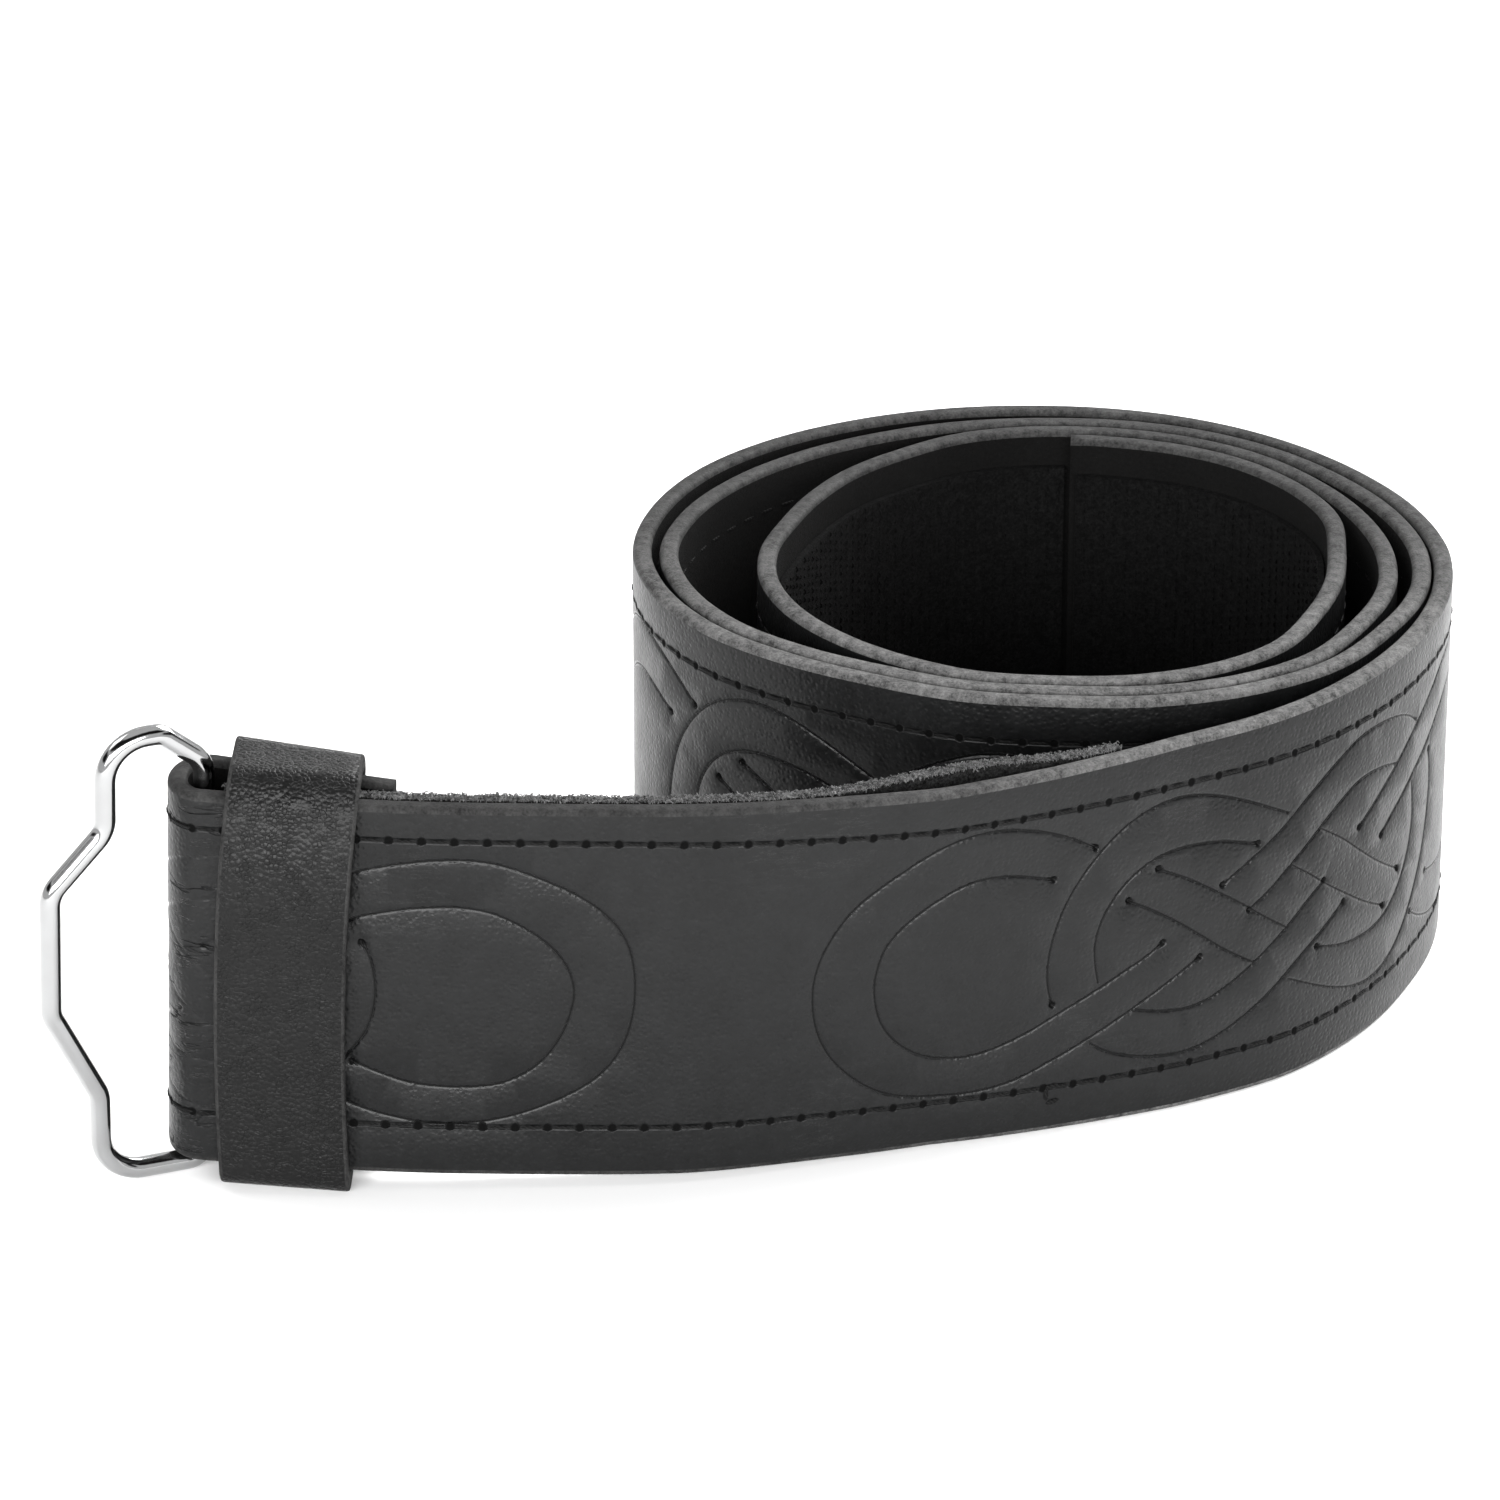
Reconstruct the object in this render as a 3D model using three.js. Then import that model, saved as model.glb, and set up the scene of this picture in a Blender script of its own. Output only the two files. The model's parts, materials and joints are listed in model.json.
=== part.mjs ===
import * as THREE from 'three';

// A kilt belt, rolled up and standing on its lower edge. The wide strap is one length of leather.
// One end is folded round the bar of a wire ring and held there by a leather keeper. From the fold
// the strap runs straight, then winds inwards in turns that lie close to each other.
// Sizes are in millimetres. X runs along the front of the belt, Y to the back, Z up.

// Strap
const strapWidth = 57;
const leatherThickness = 2.8;
const edgeBevel = 0.4;
const runLength = 119.8; // from the start of the fold to the middle of the coil
const coilRadius = 60;
const turnClearance = 0.4; // between two turns that touch
const tailLength = 25.7; // the turned-back layer, from the fold to its end
const foldRoom = 8; // between the two layers in the fold
const innerEndAngle = 1162; // where the inner end lies, in degrees round the coil

// Ring
const wireDiameter = 3;
const ringHeadroom = 9.8; // height between the wire's middles beyond the strap's width
const barHeadroom = 3; // how far the bar stands up from the fold
const ringReach = 23; // from the bar to the outermost stretch of wire
const barCornerRadius = 2.5;
const ringBendRadius = 4.5;
const ringShoulderRadius = 6;
const barClearance = 0.9; // between the bar and the leather in front of it
const ringRestSwing = 28; // degrees towards the front

// Keeper
const keeperWidth = 18.2;
const keeperWall = 2;
const keeperSetback = 3.1; // from the start of the fold to the keeper's near edge
const keeperTilt = 2.5; // degrees that its top leans away from the ring
const keeperSkew = 2.7; // degrees that its rear is set towards the ring
const keeperHeadroom = 2.1; // inner height beyond the strap's width
const keeperCornerRadius = 3.4;
const keeperClearance = 0.6; // between the keeper and the faces of the strap

// Tapes
const loopTapeThickness = 1.5;
const loopTapeMargin = 0.2; // from an edge of the strap to the edge of the tape
const loopTapeLength = 130;
const loopTapeBulge = 3.6; // where its loose end stands off the leather
const loopTapeBulgeShare = 0.38; // of the tape's length
const hookTapeThickness = 1.4;
const hookTapeMargin = 3.5;
const endTapeThickness = 1.2;
const endTapeMargin = 4.5;
const tapeEndMargin = 3; // from the end of the leather to the end of a tape

const pieceGap = 0.3; // between pieces that touch

// Straight run, from the bar to the coil. along is a share of runLength before the middle of the
// coil, out is a share of coilRadius in front of it, lean is how far the top edge stands in front
// of the lower edge, as a share of strapWidth, lift is a share of the fold's height above the
// floor, and rake is how far the top is turned away from the ring, as a share of the height.
const runRows = [
  { along: 1.0, out: 1.487, lean: 0, lift: 1, rake: 0.03 },
  { along: 0.79, out: 1.52, lean: 0, lift: 0.78, rake: 0.03 },
  { along: 0.6, out: 1.514, lean: 0, lift: 0.57, rake: 0.03 },
  { along: 0.43, out: 1.49, lean: 0.005, lift: 0.37, rake: 0.028 },
  { along: 0.285, out: 1.426, lean: 0.035, lift: 0.19, rake: 0.02 },
  { along: 0.142, out: 1.348, lean: 0.06, lift: 0.06, rake: 0.01 },
];

// First turn of the coil, by the angle in degrees, where 0 is to the right and 90 to the back.
// reach is the outer face's distance from the coil's middle, as a share of coilRadius.
const firstTurnRows = [
  { angle: -90, reach: 1.245, lean: 0.02 },
  { angle: -75, reach: 1.148, lean: -0.035 },
  { angle: -60, reach: 1.105, lean: -0.045 },
  { angle: -30, reach: 1.028, lean: -0.008 },
  { angle: 0, reach: 0.997, lean: 0 },
  { angle: 30, reach: 0.938, lean: 0 },
  { angle: 60, reach: 0.903, lean: 0 },
  { angle: 90, reach: 0.883, lean: 0 },
  { angle: 120, reach: 0.912, lean: 0 },
  { angle: 150, reach: 0.975, lean: 0 },
  { angle: 180, reach: 1.005, lean: 0 },
  { angle: 210, reach: 0.953, lean: 0 },
  { angle: 240, reach: 0.875, lean: 0 },
  { angle: 270, reach: 0.878, lean: 0 },
];

// The turns inside the first one. opening is the space between a turn and the turn outside it,
// beyond turnClearance, as a share of coilRadius.
const openingRows = [
  { angle: 300, opening: 0.114 },
  { angle: 315, opening: 0.05 },
  { angle: 330, opening: 0.024 },
  { angle: 350, opening: 0 },
  { angle: 400, opening: 0 },
  { angle: 450, opening: 0.027 },
  { angle: 500, opening: 0.052 },
  { angle: 545, opening: 0.01 },
  { angle: 590, opening: 0 },
  { angle: 660, opening: 0 },
  { angle: 720, opening: 0.03 },
  { angle: 770, opening: 0 },
  { angle: 812, opening: 0 },
  { angle: 845, opening: 0.077 },
  { angle: 892, opening: 0.198 },
  { angle: 930, opening: 0.115 },
  { angle: 960, opening: 0.02 },
  { angle: 985, opening: 0 },
  { angle: 1070, opening: 0.077 },
  { angle: 1105, opening: 0 },
  { angle: 1200, opening: 0 },
];

const wireRadius = wireDiameter / 2;
const ringHeight = strapWidth + ringHeadroom;
const foldLift = Math.max(wireDiameter, keeperWall) + pieceGap;
const barTop = foldLift + strapWidth + barHeadroom - wireRadius;

// The fold is half an ellipse. Behind it the tail comes nearer to the run, until the two tapes
// between them meet.
const foldReach = leatherThickness + barClearance + wireRadius;
const foldHalfDepth = leatherThickness + foldRoom / 2;
const tailGap = loopTapeThickness + hookTapeThickness + 3 * pieceGap;
const tailSlope = Math.atan((foldRoom - tailGap) / tailLength);
const tailFromFoldMiddle = Math.hypot(
  foldReach * Math.sin(tailSlope),
  foldHalfDepth * Math.cos(tailSlope),
);

// Corners of the ring's outline. out is a share of ringReach away from the bar, up a share of
// ringHeight above the lowest stretch of wire.
const ringCorners = [
  { out: 0, up: 0, radius: barCornerRadius },
  { out: 0.66, up: 0, radius: ringShoulderRadius },
  { out: 0.67, up: 0.19, radius: ringBendRadius },
  { out: 1, up: 0.385, radius: ringBendRadius },
  { out: 1, up: 0.65, radius: ringBendRadius },
  { out: 0.63, up: 0.79, radius: ringBendRadius },
  { out: 0.62, up: 1, radius: ringShoulderRadius },
  { out: 0.27, up: 1, radius: barCornerRadius },
  { out: 0, up: barTop / ringHeight, radius: ringBendRadius },
];

const knotStep = 15; // degrees between the points that the coil's curve passes through
const coilStationStep = 5; // degrees
const runStationsPerKnot = 5;
const foldSegments = 14;
const tailSegments = 4;
const wireSides = 10;
const bendSegments = 5;
const cornerSegments = 5;

// Smooth value of a table's column between its rows, which never swings past them.
function readTable(rows, key, column, at) {
  const last = rows.length - 2;
  let index = rows.findIndex((row) => row[key] > at) - 1;
  if (index < 0) {
    index = at <= rows[0][key] ? 0 : last;
  }
  const rise = (i) => (rows[i + 1][column] - rows[i][column]) / (rows[i + 1][key] - rows[i][key]);
  const slopeAt = (i) => {
    if (i === 0) {
      return rise(0);
    }
    if (i === rows.length - 1) {
      return rise(last);
    }
    const before = rise(i - 1);
    const after = rise(i);
    return before * after > 0 ? (2 * before * after) / (before + after) : 0;
  };
  const span = rows[index + 1][key] - rows[index][key];
  const t = THREE.MathUtils.clamp((at - rows[index][key]) / span, 0, 1);
  const low = rows[index][column];
  const high = rows[index + 1][column];
  const smooth = t * t * (3 - 2 * t);
  const bendIn = t * (1 - t) * (1 - t) * span * slopeAt(index);
  const bendOut = t * t * (1 - t) * span * slopeAt(index + 1);
  return low + (high - low) * smooth + bendIn - bendOut;
}

// Distance of the strap's outer face from the coil's middle, at an angle counted on through all
// the turns. Each turn after the first lies inside the one before.
function outerReach(angle) {
  const insideFrom = openingRows[0].angle;
  const firstTurnEnd = firstTurnRows[firstTurnRows.length - 1].angle;
  if (angle <= firstTurnEnd) {
    return coilRadius * readTable(firstTurnRows, 'angle', 'reach', angle);
  }
  if (angle < insideFrom) {
    const share = (angle - firstTurnEnd) / (insideFrom - firstTurnEnd);
    return THREE.MathUtils.lerp(outerReach(firstTurnEnd), outerReach(insideFrom), share);
  }
  const opening = turnClearance + coilRadius * readTable(openingRows, 'angle', 'opening', angle);
  return outerReach(angle - 360) - leatherThickness - opening;
}

// The strap's outer face seen from above, from the bar to the inner end.
function strapKnots() {
  const knots = runRows.map((row) => ({
    point: new THREE.Vector2(-row.along * runLength, -row.out * coilRadius),
    lean: row.lean,
    lift: row.lift,
    rake: row.rake,
    angle: null,
  }));
  const addCoilKnot = (angle) => {
    const turn = THREE.MathUtils.degToRad(angle);
    const reach = outerReach(angle);
    knots.push({
      point: new THREE.Vector2(reach * Math.cos(turn), reach * Math.sin(turn)),
      lean: angle < 0 ? readTable(firstTurnRows, 'angle', 'lean', angle) : 0,
      lift: 0,
      rake: 0,
      angle,
    });
  };
  for (let angle = firstTurnRows[0].angle; angle < innerEndAngle; angle += knotStep) {
    addCoilKnot(angle);
  }
  addCoilKnot(innerEndAngle);
  return knots;
}

// Where the fold starts, and which way its along and inward directions point from above. Along
// is towards the coil, and inward is from the front face to the tail.
function foldPlace(knots) {
  const [first, second] = knots;
  const along = second.point.clone().sub(first.point).normalize();
  const inward = new THREE.Vector2(-along.y, along.x);
  const direction = (a, b) => along.clone().multiplyScalar(a).addScaledVector(inward, b);
  return {
    rake: first.rake,
    turn: Math.atan2(along.y, along.x),
    direction,
    place: (a, b) => direction(a, b).add(first.point),
  };
}

// Stations along the whole strap, from the tail's end to the inner end. Each has its point on the
// outer face, the outward direction, and the strap's lean and lift there.
function strapStations() {
  const knots = strapKnots();
  const curve = new THREE.SplineCurve(knots.map((knot) => knot.point));
  const fold = foldPlace(knots);
  const stations = [];
  const addFold = (along, inward, outAlong, outInward) => {
    const lift = 1 - (fold.rake * along) / foldLift;
    const out = fold.direction(outAlong, outInward).normalize();
    stations.push({ point: fold.place(along, inward), out, lean: 0, lift, rake: fold.rake, angle: null });
  };

  const sine = Math.sin(tailSlope);
  const cosine = Math.cos(tailSlope);
  const tailAlong = (foldReach ** 2 * sine) / tailFromFoldMiddle;
  const tailInward = foldHalfDepth + (foldHalfDepth ** 2 * cosine) / tailFromFoldMiddle;
  for (let i = 0; i < tailSegments; i += 1) {
    const left = tailLength * (1 - i / tailSegments);
    addFold(tailAlong + left * cosine, tailInward - left * sine, sine, cosine);
  }
  const firstTurn = Math.atan2(foldHalfDepth * cosine, foldReach * sine);
  for (let i = 0; i < foldSegments; i += 1) {
    const turn = THREE.MathUtils.lerp(firstTurn, 1.5 * Math.PI, i / foldSegments);
    const across = Math.cos(turn);
    const deep = Math.sin(turn);
    addFold(
      foldReach * across,
      foldHalfDepth * (1 + deep),
      foldHalfDepth * across,
      foldReach * deep,
    );
  }
  for (let k = 0; k < knots.length - 1; k += 1) {
    const from = knots[k];
    const to = knots[k + 1];
    const inCoil = from.angle !== null;
    const count = inCoil
      ? Math.ceil((to.angle - from.angle) / coilStationStep)
      : runStationsPerKnot;
    for (let i = 0; i < count; i += 1) {
      const share = i / count;
      const along = (k + share) / (knots.length - 1);
      const heading = curve.getTangent(along);
      stations.push({
        point: curve.getPoint(along),
        out: new THREE.Vector2(heading.y, -heading.x),
        angle: inCoil ? THREE.MathUtils.lerp(from.angle, to.angle, share) : null,
        ...blend(from, to, share),
      });
    }
  }
  const heading = curve.getTangent(1);
  stations.push({
    point: curve.getPoint(1),
    out: new THREE.Vector2(heading.y, -heading.x),
    angle: innerEndAngle,
    ...blend(knots[knots.length - 1], knots[knots.length - 1], 0),
  });

  let length = 0;
  stations.forEach((station, i) => {
    length += i > 0 ? station.point.distanceTo(stations[i - 1].point) : 0;
    station.length = length;
  });
  return stations;
}

// How the strap stands between two places: its lean, lift and rake.
function blend(from, to, share) {
  return {
    lean: THREE.MathUtils.lerp(from.lean, to.lean, share),
    lift: THREE.MathUtils.lerp(from.lift, to.lift, share),
    rake: THREE.MathUtils.lerp(from.rake, to.rake, share),
  };
}

// The stations between two lengths along the strap, with one at each end.
function stationsBetween(stations, from, to) {
  const at = (length) => {
    const i = Math.max(1, stations.findIndex((station) => station.length >= length));
    const a = stations[i - 1];
    const b = stations[i];
    const share = (length - a.length) / (b.length - a.length);
    return {
      point: a.point.clone().lerp(b.point, share),
      out: a.out.clone().lerp(b.out, share).normalize(),
      angle: b.angle,
      length,
      ...blend(a, b, share),
    };
  };
  const nearest = 1;
  const between = stations.filter((s) => s.length > from + nearest && s.length < to - nearest);
  return [at(from), ...between, at(to)];
}

// A point of the strap's section: inward from the outer face and up from the lower edge.
function sectionPoint(station, inward, up) {
  const leanOut = station.lean * (up - strapWidth / 2);
  const x = station.point.x + station.out.x * (leanOut - inward) + station.rake * up;
  const y = station.point.y + station.out.y * (leanOut - inward);
  return new THREE.Vector3(x, y, station.lift * foldLift + up);
}

// A closed solid through equal sections. It is capped at both ends, or joined into a loop.
function loftSolid(sections, isLoop) {
  const sides = sections[0].length;
  const positions = [];
  const faces = [];
  sections.forEach((section) => section.forEach((p) => positions.push(p.x, p.y, p.z)));
  const strips = isLoop ? sections.length : sections.length - 1;
  for (let s = 0; s < strips; s += 1) {
    const here = s * sides;
    const next = ((s + 1) % sections.length) * sides;
    for (let i = 0; i < sides; i += 1) {
      const j = (i + 1) % sides;
      faces.push(here + i, next + j, here + j, here + i, next + i, next + j);
    }
  }
  if (!isLoop) {
    const end = (sections.length - 1) * sides;
    for (let i = 1; i < sides - 1; i += 1) {
      faces.push(0, i, i + 1, end, end + i + 1, end + i);
    }
  }
  const geometry = new THREE.BufferGeometry();
  geometry.setAttribute('position', new THREE.Float32BufferAttribute(positions, 3));
  geometry.setIndex(faces);
  geometry.computeVertexNormals();
  return geometry;
}

// A band that follows the stations, between two depths and two heights, with bevelled edges.
function bandSolid(stations, depths, heights, bevel) {
  const sections = stations.map((station, i) => {
    const [near, far] = depths(station, i);
    const [low, high] = heights;
    const corners = bevel > 0
      ? [
        [near, low + bevel], [near, high - bevel], [near + bevel, high], [far - bevel, high],
        [far, high - bevel], [far, low + bevel], [far - bevel, low], [near + bevel, low],
      ]
      : [[near, low], [near, high], [far, high], [far, low]];
    return corners.map(([inward, up]) => sectionPoint(station, inward, up));
  });
  return loftSolid(sections, false);
}

const leatherMaterial = () => new THREE.MeshStandardMaterial({
  color: 0x2b2c2e,
  roughness: 0.5,
  metalness: 0,
});

const tapeMaterial = () => new THREE.MeshStandardMaterial({
  color: 0x101012,
  roughness: 0.95,
  metalness: 0,
});

const chromeMaterial = () => new THREE.MeshStandardMaterial({
  color: 0xd8dadd,
  roughness: 0.12,
  metalness: 1,
});

function namedMesh(name, geometry, material) {
  const mesh = new THREE.Mesh(geometry, material);
  mesh.name = name;
  return mesh;
}

function makeStrap(stations) {
  const depths = () => [0, leatherThickness];
  const geometry = bandSolid(stations, depths, [0, strapWidth], edgeBevel);
  return namedMesh('strap', geometry, leatherMaterial());
}

// Height range of a tape that lies along the middle of the strap.
function tapeHeights(margin) {
  return [margin, strapWidth - margin];
}

// The loop tape lies on the inside of the straight run, from the fold on. Near its loose end it
// stands off the leather in a low bulge.
function makeLoopTape(stations) {
  const from = stations[tailSegments + foldSegments].length + tapeEndMargin;
  const to = from + loopTapeLength;
  const bulgeLength = loopTapeLength * loopTapeBulgeShare;
  const depths = (station) => {
    const intoBulge = THREE.MathUtils.clamp((station.length - to + bulgeLength) / bulgeLength, 0, 1);
    const near = leatherThickness + pieceGap + loopTapeBulge * Math.sin(Math.PI * intoBulge) ** 2;
    return [near, near + loopTapeThickness];
  };
  const along = stationsBetween(stations, from, to);
  return namedMesh('loop_tape', bandSolid(along, depths, tapeHeights(loopTapeMargin), 0), tapeMaterial());
}

// The hook tape lies on the inside of the tail and presses on the loop tape.
function makeHookTape(stations) {
  const near = leatherThickness + pieceGap;
  const depths = () => [near, near + hookTapeThickness];
  const along = stationsBetween(stations, tapeEndMargin, tailLength - tapeEndMargin);
  return namedMesh('hook_tape', bandSolid(along, depths, tapeHeights(hookTapeMargin), 0), tapeMaterial());
}

// The end tape lies on the innermost face, from just past the inner end round to that end.
function makeEndTape(stations) {
  const strapEnd = stations[stations.length - 1];
  const underEnd = stations.find((station) => station.angle > strapEnd.angle - 360);
  const near = leatherThickness + pieceGap;
  const depths = () => [near, near + endTapeThickness];
  const from = underEnd.length + 2 * tapeEndMargin;
  const to = strapEnd.length - tapeEndMargin;
  const along = stationsBetween(stations, from, to);
  return namedMesh('end_tape', bandSolid(along, depths, tapeHeights(endTapeMargin), 0), tapeMaterial());
}

// Outline of a rectangle with round corners, about the origin.
function roundedOutline(target, width, height, radius) {
  const x = width / 2;
  const y = height / 2;
  target.moveTo(-x + radius, -y);
  target.lineTo(x - radius, -y);
  target.absarc(x - radius, -y + radius, radius, -Math.PI / 2, 0);
  target.lineTo(x, y - radius);
  target.absarc(x - radius, y - radius, radius, 0, Math.PI / 2);
  target.lineTo(-x + radius, y);
  target.absarc(-x + radius, y - radius, radius, Math.PI / 2, Math.PI);
  target.lineTo(-x, -y + radius);
  target.absarc(-x + radius, -y + radius, radius, Math.PI, Math.PI * 1.5);
  return target;
}

// The keeper is a closed leather band round both layers of the strap. Its rear follows the tail,
// and is set a little towards the ring.
function makeKeeper(fold) {
  const innerDepth = 2 * (foldHalfDepth + keeperClearance);
  const innerHeight = strapWidth + keeperHeadroom;
  const outerDepth = innerDepth + 2 * keeperWall;
  const outerHeight = innerHeight + 2 * keeperWall;
  const innerRadius = Math.max(keeperCornerRadius - keeperWall, pieceGap);
  const band = roundedOutline(new THREE.Shape(), outerDepth, outerHeight, keeperCornerRadius);
  band.holes.push(roundedOutline(new THREE.Path(), innerDepth, innerHeight, innerRadius));
  const geometry = new THREE.ExtrudeGeometry(band, {
    depth: keeperWidth,
    bevelEnabled: false,
    curveSegments: cornerSegments,
  });
  geometry.rotateX(Math.PI / 2);
  geometry.rotateZ(Math.PI / 2);
  geometry.translate(-keeperWidth, 0, outerHeight / 2);

  const farEdge = keeperSetback + keeperWidth;
  const tailFace = (tailFromFoldMiddle + keeperClearance) / Math.cos(tailSlope);
  const positions = geometry.attributes.position;
  const skew = Math.tan(THREE.MathUtils.degToRad(keeperSkew));
  for (let i = 0; i < positions.count; i += 1) {
    const x = positions.getX(i);
    const y = positions.getY(i);
    const rearShift = tailFace - (farEdge + x) * Math.tan(tailSlope) - innerDepth / 2;
    positions.setX(i, x - (y + innerDepth / 2) * skew);
    positions.setY(i, y > 0 ? y + rearShift : y);
  }

  const keeper = namedMesh('keeper', geometry, leatherMaterial());
  const place = fold.place(farEdge, foldHalfDepth);
  keeper.position.set(place.x, place.y, 0);
  keeper.rotation.set(0, THREE.MathUtils.degToRad(keeperTilt), fold.turn, 'ZYX');
  return keeper;
}

// Points of a closed outline whose corners are rounded by arcs.
function roundedLoop(corners) {
  const points = [];
  corners.forEach((corner, i) => {
    const before = corners[(i + corners.length - 1) % corners.length].point;
    const after = corners[(i + 1) % corners.length].point;
    const toBefore = before.clone().sub(corner.point).normalize();
    const toAfter = after.clone().sub(corner.point).normalize();
    const halfAngle = Math.acos(THREE.MathUtils.clamp(toBefore.dot(toAfter), -1, 1)) / 2;
    const middle = corner.point.clone().addScaledVector(
      toBefore.clone().add(toAfter).normalize(),
      corner.radius / Math.sin(halfAngle),
    );
    const tangentLength = corner.radius / Math.tan(halfAngle);
    const first = corner.point.clone().addScaledVector(toBefore, tangentLength).sub(middle);
    const last = corner.point.clone().addScaledVector(toAfter, tangentLength).sub(middle);
    const sweep = Math.atan2(first.cross(last), first.dot(last));
    for (let k = 0; k <= bendSegments; k += 1) {
      const spoke = first.clone().rotateAround(new THREE.Vector2(), (sweep * k) / bendSegments);
      points.push(middle.clone().add(spoke));
    }
  });
  return points;
}

// The ring is one loop of round wire. Its bar stands in the fold and leans as the fold does. Its
// outer side has a broad bump.
function makeRing(fold) {
  const outline = roundedLoop(ringCorners.map(({ out, up, radius }) => ({
    point: new THREE.Vector2(-out * ringReach, wireRadius + up * ringHeight),
    radius,
  })));
  const sections = outline.map((point, i) => {
    const before = outline[(i + outline.length - 1) % outline.length];
    const after = outline[(i + 1) % outline.length];
    const heading = after.clone().sub(before).normalize();
    const section = [];
    for (let k = 0; k < wireSides; k += 1) {
      const turn = (2 * Math.PI * k) / wireSides;
      const side = wireRadius * Math.cos(turn);
      section.push(new THREE.Vector3(
        point.x + side * heading.y,
        -wireRadius * Math.sin(turn),
        point.y - side * heading.x,
      ));
    }
    return section;
  });
  const ring = namedMesh('ring', loftSolid(sections, true), chromeMaterial());
  ring.rotation.z = THREE.MathUtils.degToRad(ringRestSwing);
  const leaningRing = new THREE.Group();
  const bar = fold.place(-fold.rake * foldLift, foldReach);
  leaningRing.position.set(bar.x, bar.y, 0);
  leaningRing.rotation.set(0, Math.atan(fold.rake), fold.turn, 'ZYX');
  leaningRing.add(ring);
  return leaningRing;
}

const stations = strapStations();
const fold = foldPlace(strapKnots());

const belt = new THREE.Group();
belt.add(makeStrap(stations));
belt.add(makeLoopTape(stations));
belt.add(makeHookTape(stations));
belt.add(makeEndTape(stations));
belt.add(makeKeeper(fold));
belt.add(makeRing(fold));

// The origin is on the floor, under the middle of the belt's box.
const box = new THREE.Box3().setFromObject(belt, true);
const boxMiddle = box.getCenter(new THREE.Vector3());
belt.position.set(-boxMiddle.x, -boxMiddle.y, -box.min.z);

export default belt;
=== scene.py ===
import json
import math

import bmesh
import bpy
import numpy as np
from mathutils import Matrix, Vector
from mathutils.geometry import delaunay_2d_cdt


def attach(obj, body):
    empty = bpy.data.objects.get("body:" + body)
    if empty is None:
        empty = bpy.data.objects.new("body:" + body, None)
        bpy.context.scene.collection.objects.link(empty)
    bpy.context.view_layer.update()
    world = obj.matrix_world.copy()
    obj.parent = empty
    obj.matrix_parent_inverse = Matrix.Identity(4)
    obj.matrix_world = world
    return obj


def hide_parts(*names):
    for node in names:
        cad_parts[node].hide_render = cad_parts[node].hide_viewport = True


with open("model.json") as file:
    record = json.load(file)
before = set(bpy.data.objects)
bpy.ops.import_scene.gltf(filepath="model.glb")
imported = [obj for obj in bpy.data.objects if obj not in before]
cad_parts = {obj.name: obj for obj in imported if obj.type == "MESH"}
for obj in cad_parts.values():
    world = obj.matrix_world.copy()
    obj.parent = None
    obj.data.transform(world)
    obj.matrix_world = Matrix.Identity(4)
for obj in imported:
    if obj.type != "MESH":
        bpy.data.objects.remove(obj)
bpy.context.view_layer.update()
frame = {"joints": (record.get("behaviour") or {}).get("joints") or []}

# A kilt belt, rolled up and standing on its lower edge. Sizes are in metres. "Along" is the way
# along the strap's outer face from the free end of the tail, "up" is the height over the strap's
# lower edge, and "inward" is the depth from the outer face.

# Strap
STRAP_WIDTH = 0.057
LEATHER = 0.0028
COIL_RADIUS = 0.060
RUN_LENGTH = 0.1198
TURN_CLEARANCE = 0.0004
INNER_END_ANGLE = 1162.0
TAIL_LENGTH = 0.0257
FOLD_ROOM = 0.008
FOLD_REACH = LEATHER + 0.0009 + 0.0015
FOLD_HALF_DEPTH = LEATHER + FOLD_ROOM / 2
FOLD_LIFT = 0.0033
TAIL_GAP = 0.0038
TAIL_SLOPE = math.atan((FOLD_ROOM - TAIL_GAP) / TAIL_LENGTH)
TAIL_FROM_FOLD_MIDDLE = math.hypot(
    FOLD_REACH * math.sin(TAIL_SLOPE), FOLD_HALF_DEPTH * math.cos(TAIL_SLOPE)
)

# Straight run from the fold to the coil: along and out as shares, then lean, lift and rake.
RUN_ROWS = [
    (1.0, 1.487, 0, 1, 0.03),
    (0.79, 1.52, 0, 0.78, 0.03),
    (0.6, 1.514, 0, 0.57, 0.03),
    (0.43, 1.49, 0.005, 0.37, 0.028),
    (0.285, 1.426, 0.035, 0.19, 0.02),
    (0.142, 1.348, 0.06, 0.06, 0.01),
]
# First turn of the coil: angle, reach of the outer face as a share of the radius, and lean.
FIRST_TURN = [
    (-90, 1.245, 0.02), (-75, 1.148, -0.035), (-60, 1.105, -0.045), (-30, 1.028, -0.008),
    (0, 0.997, 0), (30, 0.938, 0), (60, 0.903, 0), (90, 0.883, 0), (120, 0.912, 0),
    (150, 0.975, 0), (180, 1.005, 0), (210, 0.953, 0), (240, 0.875, 0), (270, 0.878, 0),
]
# Space between a turn and the turn outside it, as a share of the radius.
OPENINGS = [
    (300, 0.114), (315, 0.05), (330, 0.024), (350, 0), (400, 0), (450, 0.027), (500, 0.052),
    (545, 0.01), (590, 0), (660, 0), (720, 0.03), (770, 0), (812, 0), (845, 0.077),
    (892, 0.198), (930, 0.115), (960, 0.02), (985, 0), (1070, 0.077), (1105, 0), (1200, 0),
]
# Steps along the path: degrees between the coil's guiding points, and rows in tail and fold.
COIL_STEP = 15.0
TAIL_STEPS = 13
FOLD_STEPS = 32

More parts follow.
